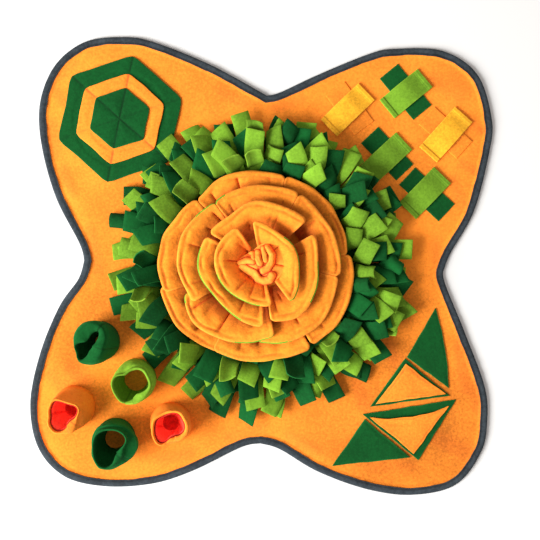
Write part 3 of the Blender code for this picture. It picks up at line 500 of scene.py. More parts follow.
# ================================================================ meshes
def sample(values, position):
    """The value at a position from 0 to 1 along a row of values, on a smooth curve through them."""
    spans = len(values) - 1
    index = min(int(position * spans), spans - 1)
    t = position * spans - index
    before = values[max(index - 1, 0)]
    after = values[min(index + 2, spans)]
    a, b = values[index], values[index + 1]
    return 0.5 * (
        2 * a + (b - before) * t + (2 * before - 5 * a + 4 * b - after) * t**2
        + (3 * a - before - 3 * b + after) * t**3
    )


def sample_round(values, angle):
    """The same round a closed row of values, at an angle in radians."""
    position = (angle / math.tau % 1.0) * len(values)
    index = int(position)
    near = [values[(index + k - 1) % len(values)] for k in range(4)]
    return sample(near, (1.0 + position - index) / 3.0)


def polar(centre, radius, angle):
    return Vector((centre[0] + radius * math.cos(angle), centre[1] + radius * math.sin(angle)))


def hump(distance, width):
    """1 at no distance, and nearly nothing two widths away. Works on numbers and on arrays."""
    return np.exp(-(distance / width) ** 2)


def degrees_past(angle, place):
    """How far an angle in radians lies past a place in degrees, from -180 to 180."""
    return (math.degrees(angle) - place + 180.0) % 360.0 - 180.0


def smooth(low, high, value):
    """0 below low, 1 above high, and a soft step between them. Works on numbers and on arrays."""
    share = np.clip((value - low) / (high - low), 0.0, 1.0)
    return share * share * (3.0 - 2.0 * share)


def wobble(x, y, size, seed):
    """Soft noise from -1 to 1 whose hills lie about one size apart."""
    return noise.noise(Vector((x / size, y / size, seed * 7.31)))


def graded(length, spacing, turn):
    """Positions from 0 to 1 along a length, with a few close together where each rim turns round."""
    start = turn / length
    count = max(2, round((1 - 2 * start) * length / spacing))
    rim = [share * start for share in RIM_SHARES]
    middle = [start + (1 - 2 * start) * k / count for k in range(count + 1)]
    return rim + middle + [1 - position for position in reversed(rim)]


def lengths_along(points, axis):
    """Distance of each grid point from the first one in its row or column."""
    steps = np.linalg.norm(np.diff(points, axis=axis), axis=2)
    pad = [(1, 0), (0, 0)] if axis == 0 else [(0, 0), (1, 0)]
    return np.pad(np.cumsum(steps, axis=axis), pad)


def edge_distances(points):
    """Distance along the cloth to the nearest end of the row and to the first and the last row."""
    across = lengths_along(points, 1)
    along = lengths_along(points, 0)
    return np.minimum(across, across[:, -1:] - across), along, along[-1:] - along


def rounded(half, distance, turn):
    """Half the thickness near a rounded edge: none at the edge, and full one turn further in."""
    share = np.clip(distance / turn, 0.0, 1.0)
    return half * np.sqrt(1.0 - (1.0 - share) ** 2)


def normals_of(points, closed):
    """Unit normals of a grid of points. A closed grid is round, and its last row lies in one point."""
    along = np.gradient(points, axis=0)
    if closed:
        ring = points[:, :-1]
        across = np.roll(ring, -1, axis=1) - np.roll(ring, 1, axis=1)
        across = np.concatenate([across, across[:, :1]], axis=1)
    else:
        across = np.gradient(points, axis=1)
    normals = np.cross(across, along)
    size = np.linalg.norm(normals, axis=2, keepdims=True)
    normals = normals / np.maximum(size, 1e-15)
    if closed:
        mean = normals[-2].mean(axis=0)
        normals[-1] = mean / np.linalg.norm(mean)
    return normals


def add_grid(bm, points, finish, material_index=0):
    """A grid of faces whose points are moved onto rows of places, with their rim, crease and tone: painted
    highlight, painted shade and tone. The material index is one number, or an array with a number for each
    face."""
    rows, columns = points.shape[:2]
    layer = bm.verts.layers.float_vector.get("finish") or bm.verts.layers.float_vector.new("finish")
    made = bmesh.ops.create_grid(bm, x_segments=columns - 1, y_segments=rows - 1, size=0.5)
    places = {}
    for vert in made["verts"]:
        column = round((vert.co.x + 0.5) * (columns - 1))
        row = round((vert.co.y + 0.5) * (rows - 1))
        vert.co = points[row, column]
        vert[layer] = finish[row, column]
        places[vert] = row, column
    if not np.any(material_index):
        return
    indices = np.broadcast_to(material_index, (rows - 1, columns - 1))
    for face in {face for vert in made["verts"] for face in vert.link_faces}:
        row = min(places[vert][0] for vert in face.verts)
        column = min(places[vert][1] for vert in face.verts)
        face.material_index = int(indices[row, column])


def painted_light_and_tone_of(points, rim=0.0, crease=0.0, tone=0.0):
    """The rim, crease and tone of each grid point, from numbers or arrays: the rim is a painted highlight,
    the crease is painted shade with dark seams, and the tone makes cloth lighter or darker, at random between
    strips and as painted light and shade on the mat, the cups and the rosette.
    """
    marks = np.zeros(points.shape)
    marks[..., 0], marks[..., 1], marks[..., 2] = rim, crease, tone
    return marks


def piece_of(name, bm, names):
    """The finished object, at the origin, in the cloths of these names."""
    bmesh.ops.remove_doubles(bm, verts=bm.verts, dist=WELD)
    bmesh.ops.dissolve_degenerate(bm, edges=bm.edges, dist=1e-7)
    bmesh.ops.recalc_face_normals(bm, faces=bm.faces)
    if bm.calc_volume(signed=True) < 0.0:
        bmesh.ops.reverse_faces(bm, faces=bm.faces)
    mesh = bpy.data.meshes.new(name)
    bm.to_mesh(mesh)
    bm.free()
    for material in cloths(names):
        mesh.materials.append(material)
    mesh.shade_smooth()
    piece = bpy.data.objects.new(name, mesh)
    bpy.context.scene.collection.objects.link(piece)
    return piece


def shell_piece(name, names, middles, half, marks, closed=False, faces=(0, 0)):
    """A piece of cloth, half its thickness either side of its middle. Its two sides meet where that is
    nothing, and faces holds the material index of each."""
    if closed:
        middles[-1] = middles[-1].mean(axis=0)
    normals = normals_of(middles, closed) * half[..., None]
    bm = bmesh.new()
    add_grid(bm, middles + normals, marks, faces[0])
    add_grid(bm, middles - normals, marks, faces[1])
    return piece_of(name, bm, names)


def flat_size(middles):
    """(width, length) and area of the cloth that a grid of points was cut from."""
    rows, columns = lengths_along(middles, 1), lengths_along(middles, 0)
    a, b, c = middles[:-1, :-1], middles[1:, :-1], middles[:-1, 1:]
    d = middles[1:, 1:]
    area = np.linalg.norm(np.cross(b - a, c - a), axis=2).sum() / 2
    area += np.linalg.norm(np.cross(b - d, c - d), axis=2).sum() / 2
    width, length = float(rows[:, -1].max()), float(columns[-1].max())
    return (width, length), min(float(area), width * length)


def settle(piece, node, cloth, rests_on=("mat_panel",)):
    """The piece hangs from the root body and stands for its solid, which is hidden."""
    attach(piece, "root")
    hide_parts(node)


def point_grid(rows, columns, place):
    """The places place(row, column) as an array."""
    return np.array([[tuple(place(v, u)) for u in columns] for v in rows])


# ================================================================ properties
class SnuffleMatColours(bpy.types.PropertyGroup):
    """Colours of the cloths"""

    mat: FloatVectorProperty(
        name="Mat felt", description="Felt of the mat, the flaps and two cups", subtype="COLOR",
        default=linear("#F68A2B"), min=0.0, max=1.0)
    binding: FloatVectorProperty(
        name="Binding", description="Tape folded round the mat's edge", subtype="COLOR",
        default=linear("#343B40"), min=0.0, max=1.0)
    green: FloatVectorProperty(
        name="Dark green felt", description="Felt of the hexagon, pockets and half of the fringe",
        subtype="COLOR", default=linear("#094B1D"), min=0.0, max=1.0)
    lime: FloatVectorProperty(
        name="Lime felt", description="Felt of the upper straps, one cup and half of the fringe",
        subtype="COLOR", default=linear("#6C9726"), min=0.0, max=1.0)
    yellow: FloatVectorProperty(
        name="Yellow felt", description="Felt of two upper straps", subtype="COLOR",
        default=linear("#F3AE2A"), min=0.0, max=1.0)
    petal: FloatVectorProperty(
        name="Petal fleece", description="Fleece of the rosette", subtype="COLOR",
        default=linear("#F88E28"), min=0.0, max=1.0)
    lining: FloatVectorProperty(
        name="Lining fleece", description="Fleece inside the two orange cups", subtype="COLOR",
        default=linear("#FF6E56"), min=0.0, max=1.0)
    floor: FloatVectorProperty(
        name="Floor", description="Pale floor round the mat", subtype="COLOR",
        default=linear("#E6E6E4"), min=0.0, max=1.0)


class SnuffleMatSizes(bpy.types.PropertyGroup):
    """Sizes that a maker would change"""

    spacing: FloatProperty(
        name="Mesh spacing", description="Distance between the points of a fine cloth", unit="LENGTH",
        default=MESH_SPACING, min=1.0 * MM, max=10.0 * MM)
    lip: FloatProperty(
        name="Petal lip", description="Width of the stitched lip round a petal", unit="LENGTH",
        default=LIP_WIDTH, min=3.0 * MM, max=12.0 * MM)
    wave: FloatProperty(
        name="Mat wave", description="How far the mat's cloth lifts off the floor", unit="LENGTH",
        default=WAVE_HEIGHT, min=0.0, max=4.0 * MM)
    hem: FloatProperty(
        name="Strap hem", description="Length of the hem at a strap's end", unit="LENGTH",
        default=HEM_LENGTH, min=3.0 * MM, max=12.0 * MM)


def cloths(names):
    """The materials of these cloths, made when they are first asked for. Each row has the material's name,
    its colour, its painted shade colour deep in a crease and its painted highlight colour along a rim, and
    its finish."""
    colours = bpy.context.scene.snuffle_colours
    recipes = {
        # Needled felt, dyed through: dense and matt. Its crease colour is painted shade, redder where it
        # folds, and its rim colour a painted highlight, paler along its edges.
        "mat": ("mat_felt", colours.mat, "#DC5424", "#FF952E", FELT),
        # The same felt in dark green, which swallows light: its crease colour paints its folds nearly black
        # as shade, and its rim colour is a painted highlight.
        "green": ("dark_green_felt", colours.green, "#0A3014", "#1E6A30", FELT),
        # Cut edges of felt, drawn paler than the face.
        "green_edge": ("dark_green_cut_edge", linear("#1C662C"), "#0A3014", "#1E6A30", FELT),
        "lime_edge": ("lime_cut_edge", linear("#84A832"), "#3F5A12", "#86AC32", FELT),
        # Felt in lime and in yellow: painted shade in their folds is olive and ochre, and their rim colours
        # are painted highlights.
        "lime": ("lime_felt", colours.lime, "#3F5A12", "#84B032", FELT),
        "yellow": ("yellow_felt", colours.yellow, "#C8781C", "#F8B438", FELT),
        # Brushed fleece: a deep, soft pile. Light that goes down between the petals comes back red, which the
        # crease colour paints in as shade; the rim colour is a painted highlight.
        "petal": ("petal_fleece", colours.petal, "#D62C24", "#FFA040", FLEECE),
        # Lime fleece sewn to the back of the orange, seen as a thin line past some rims.
        "petal_under": ("petal_underside_fleece", colours.lime, "#3F5A12", "#86AC32", FLEECE),
        # Red fleece with the same pile, lit only through the cup's mouth: its crease colour is painted shade
        # deep in the cup.
        "lining": ("lining_fleece", colours.lining, "#E2362C", "#FF5A48", FLEECE),
        # Knitted tape with a close nap: dark, with a little more contrast than felt.
        "binding": ("binding_tape", colours.binding, "#15181A", "#4A5157", TAPE),
    }
    made = []
    for cloth in names:
        name, colour, crease, rim, finish = recipes[cloth]
        found = bpy.data.materials.get(name)
        made.append(found or cloth_material(name, tuple(colour), linear(crease), linear(rim), finish))
    return made


# ================================================================ mat and binding
def mat_outline(per_lobe):
    """The mat's outline at even steps along each lobe, its box centred on the origin."""
    points = []
    for lobe in LOBES_MM:
        corners = np.array(lobe)
        dense = np.array([sample(corners, k / OUTLINE_SAMPLES) for k in range(OUTLINE_SAMPLES + 1)]) * MM
        lengths = np.concatenate([[0.0], np.cumsum(np.linalg.norm(np.diff(dense, axis=0), axis=1))])
        wanted = np.arange(per_lobe) * lengths[-1] / per_lobe
        points.append(np.stack([np.interp(wanted, lengths, dense[:, axis]) for axis in (0, 1)], 1))
    outline = np.concatenate(points)
    return outline - (outline.min(axis=0) + outline.max(axis=0)) / 2


def inset_lines(outline):
    """How far and which way each point of the outline moves for an inset of one metre."""
    before = outline - np.roll(outline, 1, axis=0)
    before /= np.linalg.norm(before, axis=1, keepdims=True)
    after = np.roll(before, -1, axis=0)
    along = before + after
    along /= np.linalg.norm(along, axis=1, keepdims=True)
    mitre = np.maximum((along * before).sum(axis=1), MITRE_LIMIT)
    return np.stack([-along[:, 1], along[:, 0]], 1) / mitre[:, None]


def nearest_along(line, x, y):
    """Distance from a point to the straight stretch x0 y0 x1 y1 of a table row, and on which side it lies."""
    start, end, point = Vector((line.x0, line.y0)), Vector((line.x1, line.y1)), Vector((x, y))
    along = end - start
    share = max(0.0, min(1.0, (point - start).dot(along) / along.length_squared))
    away = point - start.lerp(end, share)
    return away.length, along.cross(away) / along.length


def wrinkles_at(x, y):
    """Height in metres and painted shade that the wrinkles give a point of the mat."""
    height, shade = 0.0, 0.0
    x, y = x / MM, y / MM
    for line in WRINKLES:
        if abs(x - line.x0) > WRINKLE_REACH or abs(y - line.y0) > WRINKLE_REACH:
            continue
        away, side = nearest_along(line, x, y)
        height += line.height * MM * hump(away, line.width)
        beside = away if side > 0.0 else away * SHADE_FADE
        shade = max(shade, line.shade * hump(beside - 0.5 * line.width, line.width))
    return height, shade


def painted_light_at(x, y):
    """How much lighter or darker the mat is drawn at a point: painted light and shade."""
    x, y = x / MM, y / MM
    return sum(light_patch.tone * math.exp(-((x - light_patch.x) ** 2 + (y - light_patch.y) ** 2) / light_patch.reach**2) for light_patch in LIGHT_PATCHES)


class SNUFFLE_OT_mat(bpy.types.Operator):
    """Mat panel: one cloth that lies on the floor, lifts a little between the sewn pieces and rides on
    the tape folded under its edge"""

    bl_idname = "snuffle.mat"
    bl_label = "Mat panel"

    def execute(self, context):
        outline = mat_outline(PANEL_POINTS_PER_LOBE)
        inwards = inset_lines(outline)
        fine = mat_outline(3 * PANEL_POINTS_PER_LOBE)
        tree = KDTree(len(fine))
        for i, point in enumerate(fine):
            tree.insert((*point, 0.0), i)
        tree.balance()
        inset = TAPE_THICKNESS + TOUCH_GAP
        keep_out = []
        for name in NODES:
            if name not in ("mat_base", "edge_binding"):
                low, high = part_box(name)
                keep_out.append(((low + high).xy / 2, (high - low).xy.length / 2))
        wave = context.scene.snuffle_sizes.wave

        def place(v, u):
            i = u % len(outline)
            if v <= 1.0:
                flat = Vector(outline[i] + inwards[i] * (inset + v * (PANEL_BORDER - inset)))
            else:
                flat = Vector(outline[i] + inwards[i] * PANEL_BORDER) * (2.0 - v)
            distance = tree.find((flat.x, flat.y, 0.0))[2]
            lift = PANEL_RIM_LIFT * (1.0 - smooth(TAPE_WIDTH + 0.5 * MM, TAPE_WIDTH + 3.5 * MM, distance))
            free = min([1.0] + [smooth(-0.010, 0.030, (flat - c).length - r * 0.8) for c, r in keep_out])
            long_hills = 0.5 * wobble(flat.x, flat.y, WAVE_LENGTH, 1)
            short_hills = 0.3 * wobble(flat.x, flat.y, SHORT_WAVE_LENGTH, 2)
            hills = wave * max(0.5 + long_hills + short_hills, 0.0) + wrinkles_at(flat.x, flat.y)[0]
            height = lift + hills * free * smooth(0.0, 0.02, distance - TAPE_WIDTH)
            return flat.x, flat.y, height + PANEL_THICKNESS / 2

        border = [0.0, 0.02] + [k / BORDER_ROWS for k in range(1, BORDER_ROWS + 1)]
        inner = [1.0 + k / PANEL_ROWS for k in range(1, PANEL_ROWS + 1)]
        middles = point_grid(border + inner, range(len(outline) + 1), place)[:, ::-1]
        depth = lengths_along(middles, 0)
        half = rounded(PANEL_THICKNESS / 2, depth, 1.2 * MM)
        # Painted shade beside the wrinkles goes in as crease, and painted light and shade from the listed
        # patches as tone.
        shade = np.array([[wrinkles_at(x, y)[1] for x, y, _ in row] for row in middles])
        tone = np.array([[painted_light_at(x, y) for x, y, _ in row] for row in middles])
        marks = painted_light_and_tone_of(middles, crease=shade, tone=tone)
        panel = shell_piece("mat_panel", ["mat"], middles, half, marks, closed=True)
        area = flat_size(middles)[1]
        low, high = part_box("mat_base")
        settle(panel, "mat_base", "mat", rests_on=())
        return {"FINISHED"}


class SNUFFLE_OT_binding(bpy.types.Operator):
    """Edge binding: a tape folded round the edge, puckered along its seam, its ends lapped at the notch"""

    bl_idname = "snuffle.binding"
    bl_label = "Edge binding"

    def execute(self, context):
        outline = mat_outline(TAPE_POINTS_PER_LOBE)
        inwards = inset_lines(outline)
        count = len(outline)

        def place(row, column):
            i = column % count
            inset, height = TAPE_PROFILE_MM[row % len(TAPE_PROFILE_MM)]
            inset, height = inset * MM, height * MM
            turn = i / count * math.tau
            ring = (math.cos(turn) * 0.4, math.sin(turn) * 0.4)
            pucker = wobble(*ring, 0.009, 3) * 0.5 + wobble(*ring, 0.026, 4) * 0.5
            top = height / TAPE_TOP
            height += pucker * MM * top * smooth(0.0, 4.0 * MM, height)
            shift = (wobble(*ring, 0.024, 5) * 0.9 + wobble(*ring, 0.010, 6) * 0.5) * MM
            point, inward = Vector(outline[i]), Vector(inwards[i])
            lap = point - LAP_PLACE
            beyond = lap.dot(Vector((inward.y, -inward.x)))
            if lap.length < LAP_REACH and beyond > 0.0 and height > 2 * MM:
                height += 0.7 * MM * (1.0 - smooth(0.4 * LAP_REACH, LAP_REACH, beyond))
            flat = point + inward * (inset + shift * (inset / TAPE_WIDTH))
            return flat.x, flat.y, height

        rows = range(len(TAPE_PROFILE_MM) + 1)
        points = point_grid(rows, range(count + 1), place)
        bm = bmesh.new()
        seam = np.array([[TAPE_SHADES.get(r % len(TAPE_PROFILE_MM), 0.0)] for r in rows])
        add_grid(bm, points, painted_light_and_tone_of(points, crease=seam))
        tape = piece_of("edge_tape", bm, ["binding"])
        settle(tape, "edge_binding", "binding")
        return {"FINISHED"}


# ================================================================ hexagon
class SNUFFLE_OT_hexagon(bpy.types.Operator):
    """Hexagon: three layers sewn down along six spokes, each swollen between the spokes"""

    bl_idname = "snuffle.hexagon"
    bl_label = "Hexagon"

    def execute(self, context):
        spacing = context.scene.snuffle_sizes.spacing
        covered = [layer.radius for layer in HEX_LAYERS[1:]] + [0.0]
        below = "mat_panel"
        for level, (layer, inner) in enumerate(zip(HEX_LAYERS, covered)):
            low = ON_MAT + level * (SHEET_THICKNESS + TOUCH_GAP)
            columns = 6 * round(layer.radius / spacing / 1.3)
            rows = [1.0 - p for p in graded(2 * layer.radius, spacing, SHEET_THICKNESS)]
            rows = [2 * p - 1 for p in rows if p > 0.501] + [0.0]
            middles, crease = self.layer_points(layer, inner, low, rows, columns)
            depth = lengths_along(middles, 0)
            half = rounded(SHEET_THICKNESS / 2, depth, SHEET_THICKNESS * 0.7)
            # rim: a painted highlight along the layer's edge.
            rim = 0.8 * (1.0 - smooth(0.0, 1.6 * MM, depth))
            marks = painted_light_and_tone_of(middles, rim, crease)
            name = layer.name.replace("hex_layer", "hexagon")
            piece = shell_piece(name, [layer.cloth], middles, half, marks, closed=True)
            settle(piece, layer.name, layer.cloth,
                   rests_on=[below])
            below = piece.name
        return {"FINISHED"}

    def layer_points(self, layer, inner, low, rows, columns):
        sixth, half_sixth = math.radians(60), math.radians(30)
        points = np.zeros((len(rows), columns + 1, 3))
        crease = np.zeros((len(rows), columns + 1))
        for j in range(columns + 1):
            angle = HEXAGON_TURN - math.tau * j / columns
            within = (angle - HEXAGON_TURN) % sixth - half_sixth
            edge = layer.radius * math.cos(half_sixth) / math.cos(within)
            edge -= CORNER_BLUNTING * max(0.0, edge - CORNER_START * layer.radius)
            edge += 1.7 * MM * wobble(math.cos(angle) * 0.1, math.sin(angle) * 0.1, 0.045, layer.radius * 50)
            spoke = round((angle - HEXAGON_TURN) / sixth) % 6
            for i, share in enumerate(rows):
                radius = edge * share
                flat = polar(HEXAGON_CENTRE, radius, angle)
                off_spoke = radius * abs(math.sin((angle - HEXAGON_TURN + half_sixth) % sixth - half_sixth))
                groove = hump(off_spoke, 1.5 * MM) * SPOKE_DEPTHS[spoke] if share else 1.0
                open_part = smooth(inner - 1 * MM, inner + 4 * MM, radius) if inner else 1.0
                swell = HEXAGON_PUFF * (1.0 - share**4 * 0.6)
                swell *= 1.0 - hump(off_spoke, 7.0 * MM)
                height = low + SHEET_THICKNESS / 2 + 0.5 * MM + open_part * (swell - 0.45 * MM * groove)
                height += 0.15 * MM * wobble(flat.x, flat.y, 0.012, 3)
                points[i, j] = flat.x, flat.y, height
                # crease: painted shade along the sewn spokes' grooves.
                crease[i, j] = groove * 0.9 * open_part
        return points, crease


# ================================================================ crossed straps
def strap_points(strap, width, spacing, heights, seed):
    """The middle of a strap's cloth, with edges that waver a little."""
    turn = Matrix.Rotation(math.radians(strap.angle), 2)
    columns = graded(strap.length, spacing, SHEET_THICKNESS * 0.6)
    rows = graded(width, spacing, SHEET_THICKNESS * 0.6)

    def place(v, u):
        along = (u - 0.5) * strap.length
        across = (v - 0.5) * width * (1.0 + 0.012 * wobble(along, 0.0, 0.02, seed))
        along += 0.5 * MM * wobble(across, v, 0.015, seed + 1) * abs(2 * u - 1)
        flat = Vector((strap.x, strap.y)) + turn @ Vector((along, across))
        return flat.x, flat.y, heights(along, across)

    return point_grid(rows, columns, place)


class SNUFFLE_OT_straps(bpy.types.Operator):
    """Crossed straps: a short strap sewn flat, and a hemmed one that bridges it"""

    bl_idname = "snuffle.straps"
    bl_label = "Crossed straps"

    def execute(self, context):
        sizes = context.scene.snuffle_sizes
        for number, cross in enumerate(CROSSES, start=1):
            under = self.strap(f"strap_{number}_under", cross.under, cross.under_cloth, sizes.spacing * 0.8,
                               lambda along, across: ON_MAT + SHEET_THICKNESS / 2, number)
            settle(under, f"cross_{number}_under", cross.under_cloth)
            half, hem = cross.over.length / 2, sizes.hem

            def heights(along, across, half=half, number=number):
                inwards = half - abs(along)
                bridge = smooth(hem, hem + STRAP_RAMP, inwards) * (SHEET_THICKNESS + DRAPE_CLEARANCE)
                crown = 0.8 * MM * math.cos(math.pi * along / (2 * half))
                folded = 0.40 * SHEET_THICKNESS * (1.0 - smooth(hem - 0.5 * MM, hem + 0.7 * MM, inwards))
                sewn = 0.6 * MM * hump(inwards - hem, 0.8 * MM)
                ripple = 0.45 * MM * wobble(along, across, 0.017, number + 20)
                return ON_MAT + SHEET_THICKNESS / 2 + bridge + crown + folded - sewn + ripple + 0.75 * MM

            over = self.strap(f"strap_{number}_over", cross.over, cross.over_cloth, sizes.spacing * 0.55,
                              heights, number + 10, hem)
            settle(over, f"cross_{number}_over", cross.over_cloth,
                   rests_on=[f"strap_{number}_under", "mat_panel"])
        return {"FINISHED"}

    def strap(self, name, strap, cloth, spacing, heights, seed, hem=0.0):
        middles = strap_points(strap, STRAP_WIDTH, spacing, heights, seed)
        ends, first, last = edge_distances(middles)
        nearest = np.minimum(ends, np.minimum(first, last))
        half = np.full(ends.shape, SHEET_THICKNESS / 2)
        crease = np.zeros(ends.shape)
        if hem:
            half += 0.45 * SHEET_THICKNESS * (1.0 - smooth(hem - 0.5 * MM, hem + 0.7 * MM, ends))
            # crease: dark lines at the hem's fold and its stitches, painted as shade in their grooves.
            crease = 0.75 * hump(ends - hem, 0.7 * MM) + 0.35 * hump(ends - 0.45 * hem, 0.6 * MM)
        half = rounded(half, nearest, SHEET_THICKNESS * 0.6)
        # rim: a painted highlight along the strap's edges.
        rim = 0.9 * (1.0 - smooth(0.0, 1.4 * MM, nearest))
        return shell_piece(name, [cloth], middles, half, painted_light_and_tone_of(middles, rim, crease))


# ================================================================ triangle pockets
class SNUFFLE_OT_pockets(bpy.types.Operator):
    """Triangle pockets: green triangles sewn down, and two orange flaps with one free edge each"""

    bl_idname = "snuffle.pockets"
    bl_label = "Triangle pockets"

    def execute(self, context):
        spacing = context.scene.snuffle_sizes.spacing
        for number, triangle in enumerate(TRIANGLES):
            middles = self.points(triangle, spacing, number)
            depth = lengths_along(middles, 0)
            half = rounded(SHEET_THICKNESS / 2, depth, SHEET_THICKNESS * 0.7)
            # rim: a painted highlight along the edges; sewn: a dark line along the flap's stitching, painted
            # as shade in its groove.
            rim = 0.9 * (1.0 - smooth(0.0, 2.2 * MM, depth))
            sewn = 0.55 * hump(depth - 3.6 * MM, 0.8 * MM) if triangle.level else 0.0
            name = triangle.name.replace("_base", "_ground").replace("_flap", "_cover")
            below = name.replace("cover", "ground") if triangle.level else "mat_panel"
            marks = painted_light_and_tone_of(middles, rim, sewn)
            piece = shell_piece(name, [triangle.cloth], middles, half, marks, closed=True)
            a, b, c = [Vector(corner) for corner in triangle.corners]
            longest = max((b - a).length, (c - b).length, (a - c).length)
            settle(piece, triangle.name, triangle.cloth,
                   rests_on=[below])
        return {"FINISHED"}

    def points(self, triangle, spacing, seed):
        corners = [Vector(corner) for corner in triangle.corners]
        middle = sum(corners, Vector((0.0, 0.0))) / 3
        low = ON_MAT + triangle.level * (SHEET_THICKNESS + TOUCH_GAP) + SHEET_THICKNESS / 2
        flaps = [other.name for other in TRIANGLES if other.level]
        covered = triangle.name.replace("_base", "_flap") in flaps and not triangle.level
        stray = 1.9 * MM if triangle.level else 1.2 * MM
        edge = []
        for side in range(3):
            start, end = corners[side], corners[(side + 1) % 3]
            outward = Vector((end.y - start.y, start.x - end.x)).normalized()
            steps = round((end - start).length / spacing)
            for k in range(steps):
                t = k / steps
                arch = math.sin(math.pi * t)
                free = side == triangle.gape_side
                straight = start.lerp(end, t)
                bow = triangle.bow * arch if side == 2 else 0.0
                sag = triangle.sag * arch**0.7 if free else 0.0
                shift = bow - sag + stray * arch * wobble(*straight, 0.018, seed)
                edge.append((straight + outward * shift, POCKET_GAPE * arch if free else 0.0))
        edge = edge[::-1]
        edge.append(edge[0])
        reach = (corners[0] - middle).length
        rows = [2 * p for p in graded(2 * reach, spacing * 1.3, SHEET_THICKNESS) if p < 0.499] + [1.0]

        def place(v, u):
            flat, gape = edge[u]
            flat = flat.lerp(middle, v)
            inwards = v * reach * 0.7
            sewn = 0.35 * MM * hump(inwards - 3.0 * MM, 1.2 * MM)
            puff = 0.5 * MM * smooth(0.0, 0.3, v) * (0.6 + 0.8 * wobble(flat.x, flat.y, 0.03, seed + 9))
            lifted = gape * (1.0 - smooth(0.0, 0.75, v)) * (1.0 if triangle.level else 0.0)
            swell = 0.0 if covered else puff - sewn
            return flat.x, flat.y, low + 0.4 * MM + swell + lifted

        return point_grid(rows, range(len(edge)), place)


# ================================================================ cups
def cup_piece(cup, part):
    """The name of a cup's finished piece."""
    return f"{cup.name.replace('cup_', '')}_{part}"


def cup_height(cup, angle):
    return cup.height - 1.5 * MM + 1.5 * MM * math.sin(2 * angle + cup.mouth_x * 90)


def stepped(degrees, start, span):
    """1 just past an angle, fading to 0 over a span, with a short rise before the angle."""
    beyond = (degrees - start + 4.0) % 360.0 - 4.0
    return float(smooth(-4.0, 0.0, beyond)) if beyond < 0.0 else max(0.0, 1.0 - beyond / span)


def lapped(cup, angle):
    """How much thicker the rolled rim is where its end lies over its start."""
    start, depth, span = cup.lap
    return depth * MM * stepped(math.degrees(angle), start, span)


def cup_radii(cup, angle):
    """The rim's and the mouth's radius."""
    rim = sample_round(cup.rim, angle) * MM
    return rim, min(sample_round(cup.mouth, angle) * MM, rim - 4.5 * MM)


def cup_sections(cup, angle, number):
    """Places down one line of the cup: up the outer wall, over the rolled rim, and down inside."""
    base = Vector((cup.x, cup.y))
    mouth_middle = Vector((cup.mouth_x, cup.mouth_y))
    rim, mouth = cup_radii(cup, angle)
    lap = lapped(cup, angle)
    around = (math.cos(angle) * cup.base_radius, math.sin(angle) * cup.base_radius)
    rim += 1.3 * MM * wobble(*around, 0.013, number + 50) + 0.25 * lap
    mouth -= 0.5 * lap
    roll = min(sample_round(cup.roll, angle) * MM + 0.5 * lap, rim - mouth - 0.5 * MM)
    bare = rim - mouth - roll  # how much of the outer wall shows beyond the roll
    top = cup_height(cup, angle) + 0.35 * lap - 1.0 * MM * (1.0 + wobble(*around, 0.016, number + 60))
    seam = 1.3 * MM * stepped(math.degrees(angle), cup.seam, 50.0)
    foot = cup.base_radius * cup.taper - CUP_WALL
    rise = top - ON_MAT
    places = [
        (0.0, cup.base_radius, ON_MAT),
        (0.12, cup.base_radius + seam, ON_MAT + 0.22 * rise),
        (0.5, cup.base_radius * 0.5 + rim * 0.52 + seam - 0.2 * bare, ON_MAT + 0.45 * rise),
        (0.86, rim + seam - 0.55 * bare, ON_MAT + 0.78 * rise),
        (1.0, mouth + 1.02 * roll, top - 4.2 * MM),
        (1.0, mouth + 0.86 * roll, top - 1.0 * MM),
        (1.0, mouth + 0.50 * roll, top),
        (1.0, mouth + 0.12 * roll, top - 1.2 * MM),
        (1.0, mouth, top - 3.6 * MM),
        (1.0, mouth + 0.12 * roll, top - 8.0 * MM),
        (0.8, 0.6 * mouth + 0.4 * (rim - CUP_WALL - 1.5 * MM), ON_MAT + 0.62 * rise),
        (0.3, foot + 0.3 * (cup.base_radius - foot), ON_MAT + 0.3 * rise),
        (0.0, foot, ON_MAT),
    ]
    if cup.cuff:
        fold = top - cup.cuff
        wide = rim + 2.4 * MM
        places[3:5] = [
            (0.8, rim - 1.5 * MM, fold + 0.5 * MM), (0.8, wide, fold - 0.6 * MM), (0.95, wide, fold + 9 * MM),
            (0.97, rim - 0.4 * MM, fold + 11 * MM), (1.0, mouth + 1.05 * roll, top - 5.0 * MM),
        ]
    return [Vector((*polar(base.lerp(mouth_middle, share), radius, angle), height))
            for share, radius, height in places]


